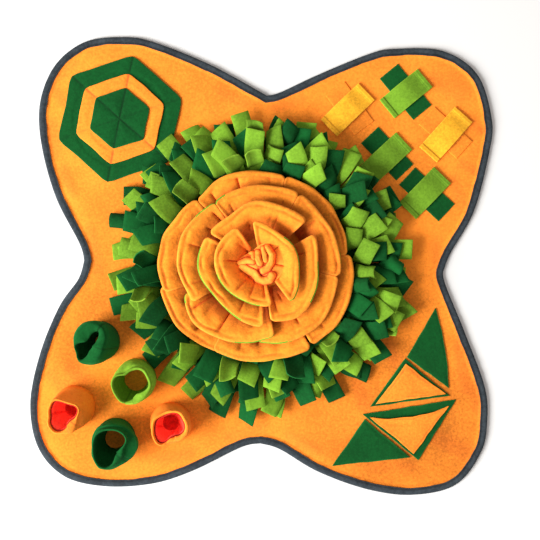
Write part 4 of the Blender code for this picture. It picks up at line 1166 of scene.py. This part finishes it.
class SNUFFLE_OT_cups(bpy.types.Operator):
    """Cups: five short felt tubes with rolled rims, two of them lined with red fleece"""

    bl_idname = "snuffle.cups"
    bl_label = "Cups"

    def execute(self, context):
        spacing = context.scene.snuffle_sizes.spacing
        for number, cup in enumerate(CUPS):
            columns = round(math.tau * cup.base_radius / spacing) * 2
            angles = [-math.tau * k / columns for k in range(columns + 1)]
            lines = [cup_sections(cup, angle, number) for angle in angles]
            rows = [k / CUP_ROWS for k in range(CUP_ROWS + 1)] + [0.0]

            def place(v, u, lines=lines, angles=angles, number=number):
                point = sample(lines[u], v)
                fuzz = 0.35 * MM * wobble(point.x + point.z, point.y - point.z, 0.010, number)
                sag = 0.8 * MM * wobble(point.x * 1.5, point.y + point.z * 2, 0.030, number + 5)
                out = Vector((math.cos(angles[u]), math.sin(angles[u]))) * (fuzz + sag)
                return point.x + out.x, point.y + out.y, point.z

            points = point_grid(rows, range(columns + 1), place)
            # Painted light on the outer wall: a share of the rim colour as a painted highlight and a lighter
            # tone, with painted shade of the crease colour where its cloth takes it.
            wall = (1.0 - smooth(0.30, 0.42, np.array(rows)))[:, None]
            cup_light = CUP_LIGHT_AND_TONE[cup.cloth]
            crease = np.maximum(self.seams(cup, angles), cup_light.deep * wall)
            tone = cup_light.rest + (cup_light.wall - cup_light.rest) * wall
            bm = bmesh.new()
            add_grid(bm, points, painted_light_and_tone_of(points, 0.4 * wall, crease, tone))
            piece = piece_of(cup_piece(cup, "cup"), bm, [cup.cloth])
            tall = float(lengths_along(points, 0)[-2].mean()) / 2
            settle(piece, cup.name, cup.cloth)
            if cup.name in LINED_CUPS:
                self.lining(cup, columns, angles, number)
        return {"FINISHED"}

    def seams(self, cup, angles):
        """Dark lines just before the lap and the side seam: the seams' own lines, with painted shade at the
        step that each makes.
        """
        marks = []
        for angle in angles:
            away = [degrees_past(angle, place) for place in (cup.lap[0], cup.seam)]
            marks.append(max(0.7 * hump(gap + 3.0, 2.6) for gap in away))
        return np.array([marks])

    def lining(self, cup, columns, angles, number):
        """A pouch from just under the mouth, down the wall in soft folds, to a round floor."""
        base = Vector((cup.x, cup.y))
        mouth_middle = Vector((cup.mouth_x, cup.mouth_y))
        rows = [k / LINING_ROWS for k in range(LINING_ROWS + 1)]

        def place(v, u):
            angle = angles[u]
            mouth = cup_radii(cup, angle)[1] - 0.5 * lapped(cup, angle) - 1.2 * MM
            top = cup_height(cup, angle) - 5.5 * MM
            bottom = ON_MAT + LINING_THICKNESS
            wide = cup.base_radius - CUP_WALL - 1.6 * MM
            places = (
                (1.0, mouth, top),
                (0.95, mouth - 0.6 * MM, top - 6 * MM),
                (0.6, wide * 0.78, 0.55 * top),
                (0.35, wide * 0.64, 0.30 * top),
                (0.2, wide * 0.54, bottom + 3.5 * MM),
                (0.15, wide * 0.42, bottom + 1.0 * MM),
                (0.1, 0.0, bottom + 1 * MM),
            )
            line = [Vector((*polar(base.lerp(mouth_middle, share), radius, angle), height))
                    for share, radius, height in places]
            point = sample(line, v)
            around = (math.cos(angle), math.sin(angle))
            folds = 1.6 * wobble(*around, 0.5, number + 30)
            folds += 0.9 * wobble(point.x, point.y + point.z, 0.009, number)
            inwards = -max(0.0, folds) * MM * math.sin(math.pi * min(1.0, v * 1.15)) if v < 0.87 else 0.0
            return (point.x + inwards * around[0], point.y + inwards * around[1],
                    point.z + 0.8 * MM * v * wobble(point.x, point.y, 0.010, number + 8))

        middles = point_grid(rows, range(columns + 1), place)
        depth = lengths_along(middles, 0)
        half = rounded(LINING_THICKNESS / 2, depth, LINING_THICKNESS)

        def folded(v, angle):
            return max(hump(degrees_past(angle, fold + 60 * v), 7) for fold in LINING_SHADE_LINES)

        # Painted shade: the lining's floor, its top edge and the listed lines take the crease colour, and its
        # floor and top edge are drawn darker.
        floor = smooth(0.70, 0.86, np.array(rows))[:, None]
        folds = np.array([[folded(v, angle) for angle in angles] for v in rows])
        hem = 1.0 - smooth(0.03, 0.12, np.array(rows))[:, None]
        crease = np.maximum(np.maximum(floor, hem), 0.8 * folds)
        marks = painted_light_and_tone_of(middles, crease=crease, tone=0.12 - 0.5 * floor - 0.34 * hem)
        piece = shell_piece(cup_piece(cup, "lining"), ["lining"], middles, half, marks, closed=True)
        flat, area = flat_size(middles)
        settle(piece, cup.name + "_lining", "lining", rests_on=[cup_piece(cup, "cup")])


# ================================================================ rosette
def petal_foot(ring, petal):
    """Height of the cloth's middle at its base, so that its lower edge stands on the mat."""
    run = (max(petal.rim) - ring.base_radius) * FOOT_STATION**PETAL_FLARE
    rise = (ring.rim_height - ON_MAT) * (1.0 - (1.0 - FOOT_STATION) ** 2)
    return ON_MAT + PETAL_THICKNESS / 2 * run / math.hypot(run, rise)


def crease_shares(draw, petal):
    """For each crease of a petal how deep it is, and where it starts and ends on the way to the rim."""
    return [(math.radians(place), draw.uniform(0.35, 1.0), draw.uniform(0.0, 0.3), draw.uniform(0.55, 1.0))
            for place in petal.creases]


def petal_middles(level, ring, petal, spacing, draw):
    """The middle of a petal's cloth from its sewn base to its rim, and how deep its creases are. Its rim
    wanders with its place, so that petals that lap move together."""
    start, end = math.radians(petal.start), math.radians(petal.end)
    low = petal_foot(ring, petal)
    width = abs(end - start) * max(petal.rim)
    deep = math.hypot(max(petal.rim) - ring.base_radius, ring.rim_height - low) * 1.1
    columns = graded(width, spacing, 1.4 * MM)
    rows = graded(deep, spacing * 0.85, 1.4 * MM)
    creases = crease_shares(draw, petal)
    points = np.zeros((len(rows), len(columns), 3))
    crease = np.zeros((len(rows), len(columns)))
    for j, u in enumerate(columns):
        angle = start + (end - start) * u
        tuck = petal.tuck_start + (petal.tuck_end - petal.tuck_start) * u
        base = ring.base_radius - tuck
        around = (math.cos(angle) * ring.base_radius, math.sin(angle) * ring.base_radius)
        outer = sample(petal.rim, u) + RIM_WANDER * wobble(*around, 0.024, level)
        lifted = RIM_WAVE * wobble(*around, 0.032, level + 10)
        from_end = min(u, 1.0 - u) * width
        corner = max(0.0, PETAL_CORNER - from_end)
        cut = PETAL_CORNER - math.sqrt(PETAL_CORNER**2 - corner**2)
        for i, v in enumerate(rows):
            share = v * (1.0 - cut / deep)
            radius = base + (outer - base) * share**PETAL_FLARE
            rise = 1.0 - (1.0 - share) ** 2
            height = low + (ring.rim_height + tuck - low) * rise + lifted * share**2
            window = smooth(0.05, 0.3, share) * smooth(0.0, 0.2, 1.0 - share)
            dent, puff = 0.0, 1.0
            for place, strength, inner, outer_end in creases:
                away = abs(angle - place) * radius
                along = smooth(inner, inner + 0.15, share) * smooth(0.0, 0.18, outer_end - share) * strength
                dent += along * hump(away, CREASE_WIDTH)
                puff *= 1.0 - along * hump(away, PLEAT_WIDTH)
            flat = polar(ROSETTE_CENTRE, radius, angle)
            height += window * (PLEAT_PUFF * puff - CREASE_DEPTH * dent)
            height += 1.9 * MM * window * wobble(flat.x, flat.y, 0.016, level + 20)
            points[i, j] = flat.x, flat.y, height
            # Painted shade: the crease colour deep between the petals and along the pleats' creases.
            shaded = DEEP_SHADES[level] * (1.0 - smooth(0.22, 0.82, share))
            crease[i, j] = max(shaded, min(1.0, dent) * window)
    if petal.start < petal.end:
        points, crease = points[:, ::-1], crease[:, ::-1]
    return points, crease


def lime_line(middles, from_rim, level):
    """1 for each face of a petal's top near its rim, where the underside shows past it, and 0 elsewhere."""
    away = middles[:-1, :-1, :2] - np.array(ROSETTE_CENTRE)
    angles = np.degrees(np.arctan2(away[..., 1], away[..., 0]))
    shown = np.zeros(angles.shape, bool)
    for low, high in LIME_STRETCHES[level]:
        shown |= ((angles - low) % 360.0) < high - low
    return (shown & (from_rim[:-1, :-1] < LIME_LINE)).astype(int)


class SNUFFLE_OT_rosette(bpy.types.Operator):
    """Rosette: four rings of two-layer petals, each with a stitched lip and pleats drawn in at its base"""

    bl_idname = "snuffle.rosette"
    bl_label = "Rosette petals"

    def execute(self, context):
        sizes = context.scene.snuffle_sizes
        draw = random.Random(PLEAT_SEED)
        for level, ring in enumerate(RINGS):
            for petal in ring.petals:
                middles, crease = petal_middles(level, ring, petal, sizes.spacing, draw)
                ends, from_base, from_rim = edge_distances(middles)
                nearest = np.minimum(ends, from_rim)
                firm = self.firmness(middles, level)
                firm *= 0.45 + 0.55 * smooth(-4 * MM, 4 * MM, ends - from_rim)
                lip = sizes.lip * (0.75 + 0.45 * self.firmness(middles, level + 9))
                lipped = 0.45 + 0.55 * firm
                half = np.full(crease.shape, PETAL_THICKNESS / 2)
                half += LIP_SWELL * lipped * hump(nearest - 0.45 * lip, 0.36 * lip)
                half -= SEAM_PINCH * firm * hump(nearest - lip, 2.0 * MM)
                half = rounded(half, np.minimum(nearest, from_base), 2.3 * MM)
                raised = LIP_RAISE * lipped * hump(nearest - 0.40 * lip, 0.45 * lip)
                raised -= 1.1 * MM * firm * hump(nearest - lip, 2.2 * MM)
                raised *= smooth(0.0, 6 * MM, from_base)
                lines = lime_line(middles, from_rim, level)
                middles = middles + normals_of(middles, False) * raised[..., None]
                # seam: painted shade along the lip's seam. rim: a painted highlight along the edges. The
                # ring's tone is painted light and shade.
                seam = 0.42 * firm * hump(nearest - lip, 1.3 * MM)
                rim = 0.45 * (1.0 - smooth(0.0, 5.0 * MM, nearest))
                marks = painted_light_and_tone_of(middles, rim, np.maximum(0.9 * crease, seam), RING_LIGHT_AND_SHADE[level])
                name = petal.name.replace("petal", "rosette_petal")
                piece = shell_piece(name, ["petal", "petal_under"], middles, half, marks, faces=(lines, 1))
                flat, area = flat_size(middles)
                settle(piece, petal.name, "petal")
        return {"FINISHED"}

    def firmness(self, middles, level):
        """How tightly the lip is sewn at each place, from 0 to 1."""
        grid = [[0.5 + 1.1 * wobble(x, y, 0.026, level + 30) for x, y, _ in row] for row in middles]
        return np.clip(np.array(grid), 0.0, 1.0)


def fold_distances(x, y):
    """How far a point in mm lies from the middle of each fold, in radii of that fold, nearest first."""
    shares = []
    for fold in FOLDS:
        pieces = [Groove(*a, *b, 0, 0) for a, b in zip(fold.points, fold.points[1:])]
        away = min(nearest_along(piece, x, y)[0] for piece in pieces)
        shares.append((away / fold.radius, fold.rise))
    return sorted(shares)[:2]


class SNUFFLE_OT_knot(bpy.types.Operator):
    """Knot: the fleece drawn together at the rosette's middle, in soft folds with painted shade lines between
    them
    """

    bl_idname = "snuffle.knot"
    bl_label = "Rosette knot"

    def execute(self, context):
        rows = [k / KNOT_ROWS for k in range(KNOT_ROWS + 1)]
        points = np.zeros((len(rows), KNOT_COLUMNS + 1, 3))
        crease = np.zeros((len(rows), KNOT_COLUMNS + 1))
        for j in range(KNOT_COLUMNS + 1):
            angle = -math.tau * j / KNOT_COLUMNS
            reach = sample_round(KNOT_REACH, angle) * MM
            drop = sample_round(KNOT_DROP, angle) * MM
            for i, v in enumerate(rows):
                share = 1.0 - v
                x, y = reach * share * math.cos(angle), reach * share * math.sin(angle)
                (near, rise), (next_near, _) = fold_distances(x / MM, y / MM)
                ridge = rise * MM * math.cos(math.pi / 2 * min(near, 1.0)) ** 0.6
                line = KNOT_SHADE_LINE * hump(near - 1.0, KNOT_SHADE_LINE_WIDTH)
                if next_near < 1.0:
                    line = max(line, KNOT_SHADE_LINE * hump(next_near - near, KNOT_SHADE_LINE_WIDTH))
                dent = max(groove.depth * MM * hump(nearest_along(groove, x / MM, y / MM)[0], groove.width)
                           for groove in GROOVES)
                skirt = KNOT_SKIRT - drop * smooth(0.35, 1.0, share) + 0.6 * MM * wobble(x, y, 0.010, 4)
                points[i, j] = x + ROSETTE_CENTRE.x, y + ROSETTE_CENTRE.y, min(skirt + ridge - dent, KNOT_TOP)
                crease[i, j] = min(1.0, line + 0.8 * smooth(0.8 * MM, 2.6 * MM, dent))
        depth = lengths_along(points, 0)
        half = rounded(1.0 * MM, depth, 1.5 * MM)
        # rim: a painted highlight over the whole knot, and a lighter tone off the lines; crease: painted
        # shade in the lines between the folds and in the grooves.
        marks = painted_light_and_tone_of(points, 0.6, crease, 0.03 * (1.0 - crease))
        piece = shell_piece("rosette_centre", ["petal"], points, half, marks, closed=True)
        flat, area = flat_size(points)
        settle(piece, "rosette_knot", "petal",
               rests_on=["rosette_petal_b1", "rosette_petal_b2"])
        return {"FINISHED"}


# ================================================================ fringe
def strip_rows(root, heading, first_pitch, last_pitch, length, width, swerve, roll):
    """Two edges of a strip that leaves its root at a heading and bends, swerves and rolls on its way."""
    place = Vector((root.x, root.y, ROOT_HEIGHT))
    step = length / (STRIP_STATIONS - 1)
    left, right = [], []
    for k in range(STRIP_STATIONS):
        share = k / (STRIP_STATIONS - 1)
        pitch = math.radians(first_pitch + (last_pitch - first_pitch) * share)
        yaw = heading + math.radians(swerve) * share
        forward = Vector((math.cos(pitch) * math.cos(yaw), math.cos(pitch) * math.sin(yaw), math.sin(pitch)))
        level = Vector((-math.sin(yaw), math.cos(yaw), 0.0))
        across = Matrix.Rotation(math.radians(roll) * share, 3, forward) @ level
        left.append(place + across * width / 2)
        right.append(place - across * width / 2)
        place = place + forward * step
    return [left, right]


def thick_tree(rows, thickness):
    """A search tree of the strip with a given thickness, to test for touching."""
    left, right = rows
    points, faces = [], []
    for k in range(len(left)):
        ahead = (left[min(k + 1, len(left) - 1)] - left[max(k - 1, 0)]).normalized()
        normal = ahead.cross(left[k] - right[k]).normalized() * thickness / 2
        points += [left[k] - normal, right[k] - normal, right[k] + normal, left[k] + normal]
    for k in range(len(left) - 1):
        for i in range(4):
            j = (i + 1) % 4
            faces.append((4 * k + i, 4 * k + j, 4 * k + 4 + j, 4 * k + 4 + i))
    last = 4 * (len(left) - 1)
    faces.append((last, last + 1, last + 2, last + 3))
    return BVHTree.FromPolygons(points, faces)


def floor_under(point):
    """The height that a strip stays above: the mat, or the hexagon and strap that it hangs over."""
    over_hexagon = (point.xy - HEXAGON_CENTRE).length < HEX_LAYERS[0].radius
    strap_middles = [Vector((cross.over.x, cross.over.y)) for cross in CROSSES]
    over_strap = any((point.xy - middle).length < STRAP_REACH for middle in strap_middles)
    if over_hexagon or over_strap:
        return ON_MAT + 3 * SHEET_THICKNESS + DRAPE_CLEARANCE + PANEL_THICKNESS
    return ON_MAT + STRIP_THICKNESS


def clear_of_mat(rows):
    return all(point.z > floor_under(point) for row in rows for point in row[1:])


def within_reach(rows):
    return all((point.xy - FRINGE_CENTRE).length < STRIP_REACH for row in rows for point in row)


def drawn_strip(draw, sector, row, slot):
    """One random strip of a row, in its slot of a sector."""
    pitch_of_slots = math.tau / FRINGE_SECTORS / row.count
    width = STRIP_WIDTH * draw.uniform(*STRIP_WIDTH_RANGE)
    spare = max(pitch_of_slots * row.root_radius - width - ROOT_SPACING, 0.0) / row.root_radius
    middle = math.tau * sector / FRINGE_SECTORS + pitch_of_slots * (slot + 0.5)
    angle = middle + draw.uniform(-0.5, 0.5) * spare
    root = polar(FRINGE_CENTRE, row.root_radius + draw.uniform(-row.scatter, row.scatter), angle)
    return strip_rows(
        root,
        angle + math.radians(draw.uniform(-STRIP_SKEW, STRIP_SKEW)),
        draw.uniform(*row.first_pitch),
        draw.uniform(*row.last_pitch),
        draw.uniform(*row.length),
        width,
        draw.uniform(-STRIP_SWERVE, STRIP_SWERVE),
        draw.uniform(-STRIP_ROLL, STRIP_ROLL),
    )


def backing_ring(sector, radius, height):
    """Points of one sector of the backing at a radius."""
    gap = BACKING_END_GAP / BACKING_INNER_RADIUS
    start = math.tau * sector / FRINGE_SECTORS + gap
    end = math.tau * (sector + 1) / FRINGE_SECTORS - gap
    angles = [start + (end - start) * k / BACKING_STEPS for k in range(BACKING_STEPS + 1)]
    return [Vector((*polar(FRINGE_CENTRE, radius, angle), height)) for angle in angles]


def backing_tree(sector):
    low, high = ON_MAT, ON_MAT + SHEET_THICKNESS
    loops = [backing_ring(sector, radius, height) for radius, height in (
        (BACKING_INNER_RADIUS, low), (BACKING_OUTER_RADIUS, low),
        (BACKING_OUTER_RADIUS, high), (BACKING_INNER_RADIUS, high))]
    count = BACKING_STEPS + 1
    faces = [(0, count, 2 * count, 3 * count), tuple(count * n + BACKING_STEPS for n in range(4))]
    for a in range(4):
        b = (a + 1) % 4
        for k in range(BACKING_STEPS):
            faces.append((a * count + k, b * count + k, b * count + k + 1, a * count + k + 1))
    return BVHTree.FromPolygons([point for loop in loops for point in loop], faces)


def solid_trees():
    """Search trees of the solids that the strips stand clear of."""
    trees = []
    for name in sorted(NODES):
        if name.startswith(("cup_", "petal_")):
            solid = NODES[name].data
            faces = [tuple(face.vertices) for face in solid.polygons]
            trees.append(BVHTree.FromPolygons([vert.co.copy() for vert in solid.vertices], faces))
    return trees


def placed_strips(trees):
    """The strips of each sector, drawn as for the solids. One is kept where it touches nothing there yet."""
    draw = random.Random(FRINGE_SEED)
    taken = list(trees)
    backings = [backing_tree(sector) for sector in range(FRINGE_SECTORS)]
    sectors = [[] for _ in range(FRINGE_SECTORS)]
    for row in STRIP_ROWS:
        for sector in range(FRINGE_SECTORS):
            others = backings[:sector] + backings[sector + 1:]
            for slot in range(row.count):
                for _ in range(STRIP_TRIES):
                    rows = drawn_strip(draw, sector, row, slot)
                    if not clear_of_mat(rows) or not within_reach(rows):
                        continue
                    fat = thick_tree(rows, STRIP_THICKNESS + 2 * STRIP_CLEARANCE)
                    if any(fat.overlap(other) for other in taken + others):
                        continue
                    taken.append(thick_tree(rows, STRIP_THICKNESS))
                    sectors[sector].append(rows)
                    break
    return sectors


def strip_grid(rows, across, tip, seed):
    """The middle of a strip's cloth, curled across its width, with its tip turned over."""
    left, right = rows
    width = (left[0] - right[0]).length
    stations = [k / STRIP_LENGTHS for k in range(STRIP_LENGTHS + 1)]
    centres = [(sample(left, u) + sample(right, u)) / 2 for u in stations]
    points = np.zeros((STRIP_COLUMNS + 1, len(stations), 3))
    place = centres[0]
    for k, u in enumerate(stations):
        before, after = centres[max(k - 1, 0)], centres[min(k + 1, STRIP_LENGTHS)]
        side = (sample(left, u) - sample(right, u)).normalized()
        ahead = (after - before).normalized()
        turned = math.radians(tip) * smooth(0.35, 1.0, u)
        ahead = Matrix.Rotation(turned, 3, side) @ ahead
        if k:
            place = place + ahead * (centres[k] - centres[k - 1]).length
        normal = ahead.cross(side)
        bend = math.radians(across) * smooth(0.05, 0.7, u) + 1e-4
        radius = width / 2 / bend
        for j in range(STRIP_COLUMNS + 1):
            turn = bend * (1.0 - 2.0 * j / STRIP_COLUMNS)
            ripple = 0.6 * MM * u * wobble(u * 0.06, j * 0.008, 0.018, seed)
            off = radius * (1.0 - math.cos(turn)) - ripple
            points[j, k] = place + side * radius * math.sin(turn) - normal * off
    return points


def grid_tree(points, thickness):
    """A search tree of a strip's cloth with its thickness."""
    normals = normals_of(points, False) * thickness / 2
    rows, columns = points.shape[:2]
    corners = [Vector(p) for side in (points + normals, points - normals) for p in side.reshape(-1, 3)]
    faces = []
    for base in (0, rows * columns):
        for j in range(rows - 1):
            for k in range(columns - 1):
                first = base + j * columns + k
                faces.append((first, first + 1, first + columns + 1, first + columns))
    return BVHTree.FromPolygons(corners, faces)


def drawn_lie(draw):
    """How one strip lies."""
    lie = draw.choices(LIES, [kind.share for kind in LIES])[0]
    return draw.uniform(lie.across_low, lie.across_high), draw.uniform(lie.tip_low, lie.tip_high)


def lowest(points):
    return points[..., 2].min()


def past_cut(rows):
    """How far, in metres, the widest point of a strip lies past the reach of the cut ends."""
    stray = CUT_STRAY * wobble(rows[0][0].x, rows[0][0].y, 0.014, 70)
    past = []
    for point in rows[0] + rows[1]:
        away = point.xy - FRINGE_CENTRE
        past.append(away.length - sample_round(CUT_REACH, math.atan2(away.y, away.x)) * MM)
    return max(past) - stray


def cut_to_reach(rows):
    """The strip, cut shorter where it would lie past the reach of the cut ends."""
    for share in (1.0, 0.9, 0.8, 0.7, 0.6, SHORTEST_CUT):
        stations = [share * k / (STRIP_STATIONS - 1) for k in range(STRIP_STATIONS)]
        cut = [[sample(row, station) for station in stations] for row in rows]
        if past_cut(cut) < 0.0:
            break
    return cut


def settled_strips(sectors, trees, draw):
    """The grids of each sector's strips. A lie that would run a strip into another is eased."""
    grids = [[] for _ in sectors]
    flat = [(sector, cut_to_reach(rows)) for sector, strips in enumerate(sectors) for rows in strips]
    shapes = [grid_tree(strip_grid(rows, 0.0, 0.0, 0.0), LIE_THICKNESS) for _, rows in flat]
    for index, (sector, rows) in enumerate(flat):
        across, tip = drawn_lie(draw)
        seed = draw.random() * 50
        for ease in (1.0, 0.8, 0.6, 0.4, 0.2, 0.0):
            grid = strip_grid(rows, across * ease, tip * ease, seed)
            shape = grid_tree(grid, LIE_THICKNESS)
            others = shapes[:index] + shapes[index + 1:] + trees
            clear = lowest(grid[:, 3:]) > ON_MAT + STRIP_THICKNESS and not any(map(shape.overlap, others))
            if clear or ease == 0.0:
                break
        shapes[index] = shape
        grids[sector].append(grid)
    return grids, shapes


def filler_strips(grids, shapes, trees):
    """Adds short strips where they touch nothing."""
    draw = random.Random(FILLER_SEED)
    for number in range(FILLERS):
        for _ in range(FILLER_TRIES):
            angle = math.tau * (number + draw.random()) / FILLERS
            root = polar(FRINGE_CENTRE, draw.uniform(*FILLER_ROOTS), angle)
            width = draw.uniform(*FILLER_WIDTHS)
            heading = angle + math.radians(draw.uniform(-FILLER_TURN, FILLER_TURN))
            rows = strip_rows(
                root,
                heading,
                draw.uniform(*FILLER_PITCHES),
                draw.uniform(*FILLER_ENDS),
                draw.uniform(*FILLER_LENGTHS),
                width,
                draw.uniform(-STRIP_SWERVE, STRIP_SWERVE),
                draw.uniform(-FILLER_ROLL, FILLER_ROLL),
            )
            if past_cut(rows) > 0.0 or not within_reach(rows):
                continue
            grid = strip_grid(rows, *drawn_lie(draw), draw.random() * 50)
            if lowest(grid[:, 2:]) < ON_MAT + STRIP_THICKNESS or grid[..., 2].max() > FRINGE_TOP:
                continue
            shape = grid_tree(grid[:, FILLER_HIDDEN:], STRIP_THICKNESS)
            if any(map(shape.overlap, shapes + trees)):
                continue
            shapes.append(grid_tree(grid, STRIP_THICKNESS))
            grids[int(angle / math.tau * FRINGE_SECTORS) % FRINGE_SECTORS].append(grid)
            break


class SNUFFLE_OT_fringe(bpy.types.Operator):
    """Fringe: fleece strips in two greens, cut square, sewn in rows to a ring of backing"""

    bl_idname = "snuffle.fringe"
    bl_label = "Fringe"

    def execute(self, context):
        trees = solid_trees()
        draw = random.Random(COLOUR_SEED)
        grids, shapes = settled_strips(placed_strips(trees), trees, draw)
        filler_strips(grids, shapes, trees)
        for sector, strips in enumerate(grids):
            limes = round(LIME_SHARES[sector] * len(strips))
            order = ["lime"] * limes + ["green"] * (len(strips) - limes)
            draw.shuffle(order)
            for cloth in ("lime", "green"):
                chosen = [grid for grid, kind in zip(strips, order) if kind == cloth]
                self.bunch(sector, cloth, chosen, draw)
        return {"FINISHED"}

    def bunch(self, sector, cloth, strips, draw):
        """The strips of one colour in a sector. The dark ones are with the backing that holds them all."""
        bm = bmesh.new()
        area = 0.0
        for grid in strips:
            area += flat_size(grid)[1]
            add_grid(bm, grid, painted_light_and_tone_of(grid, tone=draw.uniform(-0.24, 0.20)))
        if cloth == "green":
            wide = BACKING_OUTER_RADIUS - BACKING_INNER_RADIUS
            radii = [BACKING_INNER_RADIUS + wide * k / BACKING_STEPS for k in range(BACKING_STEPS + 1)]
            height = ON_MAT + STRIP_THICKNESS / 2
            grid = np.array([[tuple(p) for p in backing_ring(sector, radius, height)] for radius in radii])
            area += flat_size(grid)[1]
            # The backing is drawn darker: painted shade, as it lies in shade under the strips.
            add_grid(bm, grid, painted_light_and_tone_of(grid, tone=-0.25))
        piece = piece_of(f"fringe_{sector + 1}_{cloth}", bm, [cloth, cloth + "_edge"])
        thick = piece.modifiers.new("Thickness", "SOLIDIFY")
        thick.thickness, thick.offset = STRIP_THICKNESS, 0.0
        thick.material_offset_rim = 1
        soft = piece.modifiers.new("Soft edges", "BEVEL")
        soft.width, soft.segments, soft.limit_method = 0.5 * MM, 1, "ANGLE"
        soft.angle_limit = math.radians(50)
        settle(piece, f"fringe_{sector + 1}", cloth)


# ================================================================ studio
class SNUFFLE_OT_studio(bpy.types.Operator):
    """Studio: a pale floor, a soft light from the lower left, a warm even sky that fills the shadows and an
    overhead camera
    """

    bl_idname = "snuffle.studio"
    bl_label = "Studio"

    def execute(self, context):
        scene = context.scene
        bm = bmesh.new()
        bmesh.ops.create_grid(bm, x_segments=1, y_segments=1, size=FLOOR_SIDE / 2)
        bmesh.ops.translate(bm, verts=bm.verts, vec=(0.0, 0.0, -0.3 * MM))
        mesh = bpy.data.meshes.new("studio_floor")
        bm.to_mesh(mesh)
        bm.free()
        floor = bpy.data.objects.new("studio_floor", mesh)
        scene.collection.objects.link(floor)
        mesh.materials.append(self.paper(tuple(scene.snuffle_colours.floor)))

        self.light("key_light", (-2.60, -1.20, 1.70), 2.0, 262.0)
        world = bpy.data.worlds.new("studio_world")
        world.use_nodes = True
        back = world.node_tree.nodes["Background"]
        back.inputs["Color"].default_value = (1.0, 0.93, 0.90, 1.0)
        back.inputs["Strength"].default_value = 0.52
        scene.world = world
        scene.view_settings.view_transform = "Standard"

        camera = bpy.data.cameras.new("photo_camera")
        camera.lens, camera.sensor_width = CAMERA_LENS, 36.0
        eye = bpy.data.objects.new("photo_camera", camera)
        eye.location = CAMERA_PLACE
        scene.collection.objects.link(eye)
        scene.camera = eye
        return {"FINISHED"}

    def paper(self, colour):
        """Seamless background paper: matt and pale."""
        material = bpy.data.materials.new("background_paper")
        material.use_nodes = True
        tree = material.node_tree
        shader = tree.nodes["Principled BSDF"]
        shader.inputs["Base Color"].default_value = (*colour, 1.0)
        shader.inputs["Roughness"].default_value = 0.9
        return material

    def light(self, name, place, side, power):
        lamp = bpy.data.lights.new(name, "AREA")
        lamp.shape, lamp.size, lamp.energy = "SQUARE", side, power
        light = bpy.data.objects.new(name, lamp)
        light.location = place
        light.rotation_euler = (-Vector(place)).to_track_quat("-Z", "Y").to_euler()
        bpy.context.scene.collection.objects.link(light)


# ================================================================ add-on
STEPS = (
    SNUFFLE_OT_mat, SNUFFLE_OT_binding, SNUFFLE_OT_hexagon, SNUFFLE_OT_straps, SNUFFLE_OT_pockets,
    SNUFFLE_OT_cups, SNUFFLE_OT_rosette, SNUFFLE_OT_knot, SNUFFLE_OT_fringe, SNUFFLE_OT_studio,
)


class SNUFFLE_PT_panel(bpy.types.Panel):
    """Sizes, colours and one button for each group of pieces"""

    bl_idname = "SNUFFLE_PT_panel"
    bl_label = "Snuffle Mat"
    bl_space_type = "VIEW_3D"
    bl_region_type = "UI"
    bl_category = "Snuffle Mat"

    def draw(self, context):
        layout = self.layout
        for group in (context.scene.snuffle_sizes, context.scene.snuffle_colours):
            for name in group.__annotations__:
                layout.prop(group, name)
        for step in STEPS:
            layout.operator(step.bl_idname)


CLASSES = (SnuffleMatColours, SnuffleMatSizes, *STEPS, SNUFFLE_PT_panel)


def register():
    for made in CLASSES:
        bpy.utils.register_class(made)
    bpy.types.Scene.snuffle_colours = PointerProperty(type=SnuffleMatColours)
    bpy.types.Scene.snuffle_sizes = PointerProperty(type=SnuffleMatSizes)


def unregister():
    del bpy.types.Scene.snuffle_sizes
    del bpy.types.Scene.snuffle_colours
    for made in reversed(CLASSES):
        bpy.utils.unregister_class(made)


def main():
    register()
    bpy.ops.snuffle.mat()
    bpy.ops.snuffle.binding()
    bpy.ops.snuffle.hexagon()
    bpy.ops.snuffle.straps()
    bpy.ops.snuffle.pockets()
    bpy.ops.snuffle.cups()
    bpy.ops.snuffle.rosette()
    bpy.ops.snuffle.knot()
    bpy.ops.snuffle.fringe()
    bpy.ops.snuffle.studio()
    bpy.context.view_layer.update()


if __name__ == "__main__":
    main()
